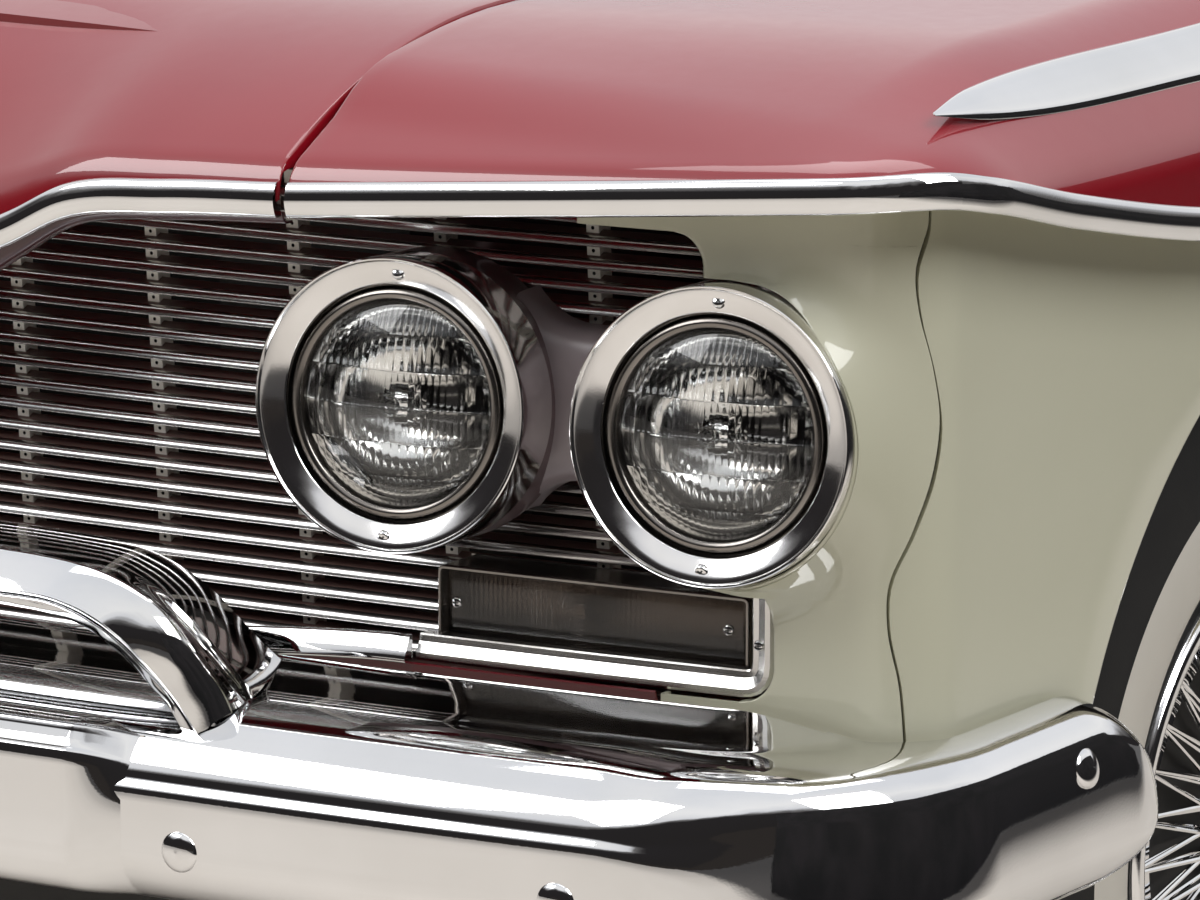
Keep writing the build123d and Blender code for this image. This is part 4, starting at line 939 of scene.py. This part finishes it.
tray_line = dense(rounded([(700, 109.5), (823, 109.5), (823, 158), (603, 158), (603, 109.5), (700, 109.5)], 5))[:-1]
tray = frame_band(tray_line, 62, [(0, 0), (0, 3.5), (-0.8, 4.5), (-2.2, 4.5), (-3, 3.5), (-3, -34), (0, -35)])
tray.grid([[at(x, 96.5, 109.5), at(x, 96.5, 158)] for x in spread(603, 823, 21)])
piece("parking_trays", tray.both(), TRIM, ("parking_lamp_trays",))


def park_lens_geo():
    """A smoky cover with upright ribs inside and a bull's-eye of rings."""
    g = Geo()
    x0, x1, z0, z1 = 606.8, 818.4, 112.8, 155.2
    cx, cz, rr = 699, 134, 18.5
    front, back = [], []
    for z in spread(z0, z1, 27):
        f, b = [], []
        for x in spread(x0, x1, 361):
            ph = (x / 3.5) % 1
            wave = 2 * ph * (1 - ph)
            r = hypot(x - cx, z - cz)
            if r < rr:
                wave = 0.9 * ((r / 3.1) % 1) if r > 6 else 0.8
            edge = min(x - x0, x1 - x, z - z0, z1 - z)
            out = 2 * (1 - (abs(z - cz) / 21.5) ** 4) * smooth(edge / 3)
            f.append(at(x, 65.2 - out, z))
            b.append((x, bow_y(x, 68.6 - wave * clamp(edge / 1.5)), z))
        front.append(f)
        back.append(b)
    g.grid(front).grid(back)
    for i in (0, -1):
        g.grid([front[i], back[i]])
        g.grid([[r[i] for r in front], [r[i] for r in back]])
    return g


def facing(x, behind, z):
    """Places a piece that faces -Y on the bow."""
    a = asin(x / (BOW_R - behind))
    return Matrix.Translation(at(x, behind, z)) @ Matrix.Rotation(a, 4, "Z")


piece("parking_covers", park_lens_geo().both(), PARK, ("parking_lamp_lenses",), 28)
bulb = Geo().lathe([(0.01, -9), (4, -8.4), (7, -6), (8.6, -2), (8.6, 2), (6.4, 6), (5.2, 9), (5.2, 12)], 32)
bulb = Geo().add(bulb, facing(704, 82, 134))
piece("parking_bulb_globes", bulb.both(), PARK, ("parking_lamp_bulbs",))
park_screws = Geo().add(screw(3.8, 2), facing(613.5, 62.6, 133)).add(screw(3.8, 2), facing(806, 62.6, 134.6))
park_screws.add(screw(3.6, 2), facing(836.5, 45.6, 131))
piece("parking_screws", park_screws.both(), [CHROME, SLOT_SHADE], sharp=50)

# The stone shield's red is darkened as painted shade under the bumper's deck
rows = []
for x in spread(-770, 770, 101):
    top = along(LOW_LINE, abs(x)) - 8.8
    row = [(x, bow_y(x, 39.5 + (90 - z) * 0.39), z) for z in spread(top, 31, 8)]
    rows.append(row + [at(x, 66, 29.6), (x, -1107, 29.6)])
piece("stone_guard", Geo().grid(rows), SHIELD_SHADED_RED, ("stone_shield",), solid=2)

# Bumper: flat deck, rolled crown and upright face, as (inward, up) points from the deck's rear
DECK = ((133, 93.2), (130, 93.4), (124, 92.6), (108, 88.6), (90, 84), (78, 81.2))
FOOT = [(40 - 40 * cos(radians(a)), -12 - 40 * sin(radians(a))) for a in spread(6, 90, 12)]
CREASE = ((4.9, 34.6), (3.8, 32.6), (2.2, 30.6), (0.9, 28.4), (0.2, 25.4), (0, 20), (0, 8), (0, -4),
          (0, -12))


def bumper_section(k, limit):
    """Creased across the front (k = 0), squarer and smooth at the end (k = 1), cut off where the body starts."""
    power = 2 + 1.3 * k
    head = list(DECK)
    for a in spread(0, 67, 50):
        c = sin(radians(a))
        z0 = lerp(10, 14, k)
        head.append((70 * (1 - c), z0 + (80 - z0) * (1 - c ** power) ** (1 / power)))
    first = next(i for i, (o, _) in enumerate(head) if o < limit)
    if first:
        (o0, z0), (o1, z1) = head[first - 1], head[first]
        head = [(limit, lerp(z0, z1, (o0 - limit) / (o0 - o1)))] + head[first:]
    run = lengths(head)
    out = [at_length(head, run, s) for s in spread(0, run[-1], 34)]
    last_o, last_z = out[-1]
    for i, (o, z) in enumerate(CREASE):
        t = (i + 1) / len(CREASE)
        out.append((lerp(o, last_o * (1 - t) ** 2.2, k), lerp(z, lerp(last_z, -12, t), k)))
    return out + FOOT


# The end's rounded outline from the side, as (y, z)
END_TOP = ((-1100, 88), (-1070, 88), (-1042, 86.5), (-1020, 79), (-999, 64), (-985, 49), (-974, 31), (-968.6, 6.6))
END_LOW = ((-1060, -52), (-1040, -52), (-1019, -50), (-1002, -46), (-986, -40), (-977, -30), (-970, -17),
           (-968.6, 6))


def deck_limit(x, y, nx, ny):
    """How far inwards the bumper may reach before it meets the nose or the fender's side."""
    def inside(m):
        px, py = x - nx * m, y - ny * m
        corner = px > 892 and py < -1160 and hypot(px - 892, py + 1166) > 63
        return px < 953.5 and py > bow_y(min(px, 953), 28) and not corner

    return edge_of(inside, 0, 200, 30)


def bumper_bar():
    path = plan_path(-BUMPER_OUT, BUMPER_SIDE, BUMPER_CORNER, 0, -1075, 80, 44, 8)
    path += [((BUMPER_SIDE, -1075 + 106.4 * sin(radians(a))), (1, 0)) for a in spread(0, 90, 26)[1:]]
    rows = []
    for (x, y), (nx, ny) in path:
        top, foot = along(END_TOP, y), along(END_LOW, y)
        edge = clamp((y + 1010) / 41.4)
        tuck = 14 * (1 - sqrt(1 - edge * edge)) if x > 900 else 0
        limit = deck_limit(x, y, nx, ny)
        row = []
        for o, z in bumper_section(smooth((x - 800) / 140), limit):
            o = min(o + tuck, limit)
            row.append((x - nx * o, y - ny * o, lerp(foot, top, (z + 52) / 140) if x > 900 else z))
        rows.append(row)
    return Geo().grid(rows)


piece("bumper_face", bumper_bar().both(), CHROME, ("bumper_bar",), solid=3)

bolt = Geo().lathe([(13.5, 3), (13.5, 1)] + [(13.5 * cos(radians(a)), 1 - 5.5 * sin(radians(a)))
                                                for a in spread(10, 88, 9)] + [(0.01, -4.6)], 40)
bolts = Geo().add(bolt, facing(518, -BUMPER_OUT, -9)).add(bolt, facing(786, -BUMPER_OUT, -9))
bolts.add(bolt, Matrix.Translation((991, -1076, 42.6)) @ Matrix.Rotation(pi / 2, 4, "Z")
          @ Matrix.Rotation(radians(-16), 4, "X"))
piece("bumper_bolts", bolts.both(), CHROME, sharp=60)


def bumper_front(z):
    """How far behind its front the bumper's face lies at a height."""
    if z > 32:
        return 70 - chord(70, z - 10)
    if z >= -12:
        return 0
    return 40 - chord(40, z + 12)


# The middle piece's section as (up, out from the bumper's front), from its top ledge to its foot
PAD = ((66, -28.5), (66.2, -24), (66.2, -8), (65.8, -3), (65, -1.2), (64, -0.4), (61.8, 0.1), (61, 0.5),
       (57, 2.6), (52.6, 5), (51.6, 6.2), (50.6, 8.2), (49.4, 9), (40, 9), (20, 9), (5, 9), (-12, 9),
       (-24, 8.4), (-34, 6.6), (-41, 2.8), (-45, -2.5), (-47, -8), (-47.5, -12))


def centre_pad():
    """The raised middle piece: upright face, lipped top and a soft step at each end."""
    rows = []
    for x in spread(-480, -436, 23) + spread(-430, 430, 60) + spread(436, 480, 23):
        share = smooth((480 - abs(x)) / 44) ** 0.8
        row = []
        for z, out in PAD:
            base = -bumper_front(z) - 0.8
            z_low = z - 8 * (1 - share) if z > 40 else z
            out = lerp(-bumper_front(z_low) - 0.8, max(out, base), share)
            row.append(at(x, -BUMPER_OUT - out, z_low))
        rows.append(row)
    return Geo().grid(rows)


piece("bumper_middle", centre_pad(), CHROME, ("bumper_centre",), solid=2)

# Guard rails as (x, z, behind): rear edge, ridge, lower front edge and inner lip, from the middle to the foot
GUARD = (((0, 167, 0), (0, 171, -84), (0, 150, -107), (0, 136.7, -95)),
         ((180, 167, 0), (200, 171, -84), (195, 150, -107), (190, 136.7, -95)),
         ((300, 166.8, 0), (352, 170.6, -84), (370, 150.2, -107), (362, 136.8, -95)),
         ((350, 166.4, 0), (406, 169.5, -84), (409.6, 150.1, -107), (396.6, 136.5, -95)),
         ((389, 165, 0), (438, 166.4, -84), (430, 148.6, -107), (416, 135.4, -95)),
         ((415, 162.5, 0), (461, 160.6, -83), (448, 144, -106), (434, 132, -94)),
         ((435, 157.5, 0), (480, 152, -82), (463, 137.5, -105), (449, 126.5, -93)),
         ((454, 150.2, 0), (493, 142.8, -80), (472, 131, -103), (458, 121, -92)),
         ((473, 139, 1), (504, 131.5, -77), (481, 123, -100), (467.5, 113, -89)),
         ((490, 123, 4), (514, 115.5, -71), (490, 112, -96), (477, 103, -86)),
         ((503, 105, 12), (522, 99.5, -63), (499, 98.5, -90), (486.5, 91.5, -82)),
         ((510, 94.5, 19), (527, 87, -56), (508, 83, -84), (494.5, 79.5, -77)),
         ((514, 87.5, 24), (530, 76, -50), (516.5, 63.5, -77), (501, 65.5, -73)))


def guard_geo():
    """The arched guard: a hollow deep arch with a flared foot."""
    rails = [smooth_line([station[i] for station in GUARD], 6) for i in range(4)]
    rows = []
    for k, (rear, ridge, low_front, inner) in enumerate(zip(*rails)):
        flute = 3.4 * smooth((k - 32) / 14) * smooth((74 - k) / 10)
        row = [between(rear, rear, 0, -3, -1.5, 1.5), rear]
        for t in (0.05, 0.12, 0.2, 0.3, 0.4, 0.5, 0.6, 0.68, 0.74, 0.78, 0.81, 0.84, 0.87, 0.9, 0.93, 0.95, 0.97,
                  0.985):
            dip = flute * max(0, sin(pi * clamp((t - 0.78) / 0.17))) ** 0.8
            bulge = 3 * sin(pi * t) - dip
            row.append(between(rear, ridge, t, bulge * 0.5, bulge, 0))
        row.append(ridge)
        for t in (0.06, 0.14, 0.28, 0.45, 0.62, 0.78, 0.9):
            out = (1.6 + 3.6 * smooth((k - 36) / 18)) * sin(pi * t ** 0.8)
            row.append(between(ridge, low_front, t, out * 0.6, out * 0.5, -out * 0.7))
        row.append(low_front)
        row += [between(low_front, inner, t, 0, -up * 0.3, up)
                for t, up in ((0.12, 1.3), (0.3, 1.8), (0.55, 1.2), (0.8, 0.4))]
        row += [between(inner, inner, 0, *move) for move in ((0, 0, 0), (-0.6, 0.6, 2.2), (1, 3, 9))]
        rows.append([(x, bow_y(max(x, 0), b), z) for x, z, b in row])
    return Geo().grid(rows)


piece("bumper_arch", guard_geo().both(), CHROME, ("bumper_guard",), solid=2)

# Wheels: (distance outwards from the middle plane, radius)
wheel_at = Matrix.Translation((TRACK, AXLE_Y, AXLE_Z)) @ Matrix.Rotation(pi / 2, 4, "Z")


def spin(profile, steps):
    return Geo().lathe([(r, -x) for x, r in profile], steps)


def tyre_geo():
    wall = [(73.4, 184.6), (74.2, 197), (78, 204), (85, 213), (90.5, 222), (91.4, 223), (92.6, 230), (95.5, 243),
            (97.6, 262), (96.4, 278), (95.6, 280), (94.4, 286), (91.5, 300), (85, 317), (76, 331), (66, 338.5)]
    tread = [(64, 341.8), (52, 342.8), (50, 342.9), (49, 336), (44, 336), (43, 342.9), (24, 343), (23, 336),
             (18, 336), (17, 343), (3, 343), (2.6, 336)]
    half = wall + tread
    outline = half + [(-x, r) for x, r in reversed(half)]
    g = Geo()
    for (x0, r0), (x1, r1) in zip(outline, outline[1:]):
        white = x0 > 0 and 223 < (r0 + r1) / 2 < 279
        g.lathe([(r0, -x0), (r1, -x1)], 150, mat=1 if white else 0)
    return g.lathe([(outline[-1][1], -outline[-1][0]), (outline[0][1], -outline[0][0])], 150)


def wire_spokes():
    """Crossed bright spokes between the cover's rim and hub."""
    g = Geo()
    n = 30
    for layer, twist in enumerate((0.23, -0.23, 0.12, -0.12)):
        x_hub, x_rim, r_hub, r_rim = (79, 69, 56, 171) if layer < 2 else (73, 66, 62, 160)
        for k in range(n):
            a = 2 * pi * (k + 0.25 * layer) / n
            b = a + twist
            hub = (r_hub * cos(a), -x_hub, r_hub * sin(a))
            g.add(tube([hub, (r_rim * cos(b), -x_rim, r_rim * sin(b))], 1.7, 6))
    return g


outer = [(78.6, 194), (83, 190), (81, 180), (70, 172), (63.5, 165), (60.5, 152), (62, 140)]
hub = [(70, 66), (76, 62), (84, 55), (89.5, 46), (92.5, 34), (94.2, 18), (94.8, 0.01)]
cover = spin(smooth_line(outer, 6), 120)
cover.add(spin(smooth_line(hub, 6), 96))
cover_back = spin([(60, 150), (61, 120), (66, 90), (70, 62)], 96)
rim = spin([(-78, 196), (-74, 196), (-74, 184), (-50, 184), (-36, 166), (4, 166), (22, 184), (74, 184), (74, 196),
            (78, 196), (78, 180), (24, 180), (9, 162), (20, 140), (30, 110), (0, 80), (-1, 34), (-6.7, 34),
            (-6.7, 80), (22, 108), (12, 138), (1, 162), (-38, 162), (-52, 180), (-78, 180)], 96)
for name in ("left", "right"):
    for part, geo, mats, replaces, slot, solid in (
            ("tyre_tread_", tyre_geo(), [RUBBER, WHITEWALL], ("tyre_" + name,), "tyre_rubber", 0),
            ("wheel_rim_", rim, STEEL, ("wheel_" + name,), "wheel_steel", 0),
            ("cover_ring_", cover, CHROME, ("wheel_cover_" + name,), "bright_chrome", 1),
            ("cover_spokes_", wire_spokes(), CHROME, (), "bright_chrome", 0),
            ("cover_back_", cover_back, BLACK, (), "wheel_steel", 1)):
        at_axle = hand(Geo().add(geo, wheel_at), name)
        piece(part + name, at_axle, mats, replaces, 50, solid, "road_wheel_" + name)

# Materials for the parts carried over from the CAD
KEEP = (
    (BLACK, "frame_rails crossmembers bumper_brackets upper_arm_towers"),
    (APRON, "radiator_support apron_left apron_right grille_head_bar"),
    (CORE, "radiator_core"),
    (CAST, "lower_arms upper_arms knuckle_left knuckle_right brake_drum_left brake_drum_right"),
    (STEEL, "hood_hinge_brackets hood_latch hood_hinge_arms"),
    (RED, "hood_frame"),
)
for mat, names in KEEP:
    for name in names.split():
        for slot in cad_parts[name].material_slots:
            slot.material = mat

# Floor, light and camera. What darkens the reflections is kept out of the camera's own view.
def stage_sheet(name, corners, mat):
    """A flat sheet of the stage, which isn't part of the object."""
    mesh = bpy.data.meshes.new(name)
    mesh.from_pydata(corners, [], [(0, 1, 2, 3)])
    mesh.materials.append(mat)
    obj = bpy.data.objects.new(name, mesh)
    bpy.context.scene.collection.objects.link(obj)
    return obj


floor_mat, nt, bsdf = new_mat("floor_pale")
pale = ramp(nt, noise(nt, 1.2, 4), [(0.3, (0.58, 0.53, 0.47)), (0.7, (0.64, 0.59, 0.53))])
far_x = node(nt, "SeparateXYZ", {0: node(nt, "TexCoord", {}, "Object")}, "X")
in_mirror = mapped(nt, node(nt, "LightPath", {}, "Is Camera Ray"), 1, 0)
dark_part = node(nt, "Math", {0: mapped(nt, far_x, 0, 1, 1.9, 2.3), 1: in_mirror}, operation="MULTIPLY")
put(nt, bsdf, {"Base Color": node(nt, "Mix", {"Factor": dark_part, "A": pale, "B": (0.05, 0.045, 0.042, 1)},
                                  "Result", data_type="RGBA"), "Roughness": 0.6})
stage_sheet("floor", [(x, y, FLOOR_Z / 1000) for x, y in ((-14, -14), (14, -14), (14, 14), (-14, 14))], floor_mat)

# A dark board beside the car, outside the picture, for the side's reflections
board = stage_sheet("board", [(2.5, -3.2, -0.46), (2.5, 2.6, -0.46), (2.5, 2.6, 1.1), (2.5, -3.2, 1.1)],
                    coated("board_dark", (0.010, 0.010, 0.011), (0.02, 0.018, 0.02), 0.8, 0))
board.visible_camera = False
board.visible_shadow = False

world = bpy.data.worlds.new("studio")
bpy.context.scene.world = world
world.use_nodes = True
nt = world.node_tree
direction = node(nt, "TexCoord", {}, "Generated")
tree_line = node(nt, "TexNoise", {"Vector": direction, "Scale": 2.2, "Detail": 4}, "Fac")
height = node(nt, "SeparateXYZ", {0: direction}, "Z")
for shift in (mapped(nt, tree_line, -0.08, 0.08, 0.3, 0.7),
              mapped(nt, node(nt, "SeparateXYZ", {0: direction}, "X"), 0.12, -0.10, -1, 0.6),
              mapped(nt, node(nt, "SeparateXYZ", {0: direction}, "Y"), 0, 0.42, 0, 0.8)):
    height = node(nt, "Math", {0: height, 1: shift}, operation="ADD")
sky = ramp(nt, height, [(0, (0.030, 0.026, 0.024)), (0.02, (0.022, 0.020, 0.020)), (0.42, (0.024, 0.022, 0.023)),
                        (0.50, (0.16, 0.155, 0.155)), (0.58, (0.80, 0.81, 0.84)), (0.72, (1, 1, 1)),
                        (1, (0.86, 0.88, 0.92))])
in_view = node(nt, "LightPath", {}, "Is Camera Ray")
put(nt, nt.nodes["Background"], {"Strength": 0.92, "Color": node(
    nt, "Mix", {"Factor": in_view, "A": sky, "B": (0.80, 0.78, 0.75, 1)}, "Result", data_type="RGBA")})


def area(name, loc, target, size, power):
    light = bpy.data.lights.new(name, "AREA")
    light.shape = "RECTANGLE"
    light.size, light.size_y = size
    light.energy = power
    o = bpy.data.objects.new(name, light)
    o.location = loc
    o.rotation_euler = (Vector(target) - Vector(loc)).to_track_quat("-Z", "Y").to_euler()
    bpy.context.scene.collection.objects.link(o)


area("key", (-1.6, -3.6, 3), (0.3, -1, 0.2), (2.4, 1.6), 60)
area("fill", (3.4, -1.6, 3), (0.8, -0.9, 0.1), (2, 2), 90)
area("top", (0.4, -0.6, 3.4), (0.4, -0.8, 0.4), (2.6, 2), 40)

AZIMUTH, ELEVATION = radians(33.5), radians(11.7)
camera = bpy.data.cameras.new("camera")
camera.sensor_width = 36
camera.lens = 210
camera.clip_end = 60
camera_obj = bpy.data.objects.new("camera", camera)
camera_obj.location = (3.1174, -4.8504, 1.1438)
camera_obj.rotation_euler = (pi / 2 - ELEVATION, 0, AZIMUTH)
bpy.context.scene.collection.objects.link(camera_obj)
bpy.context.scene.camera = camera_obj
bpy.context.scene.view_settings.view_transform = "Standard"
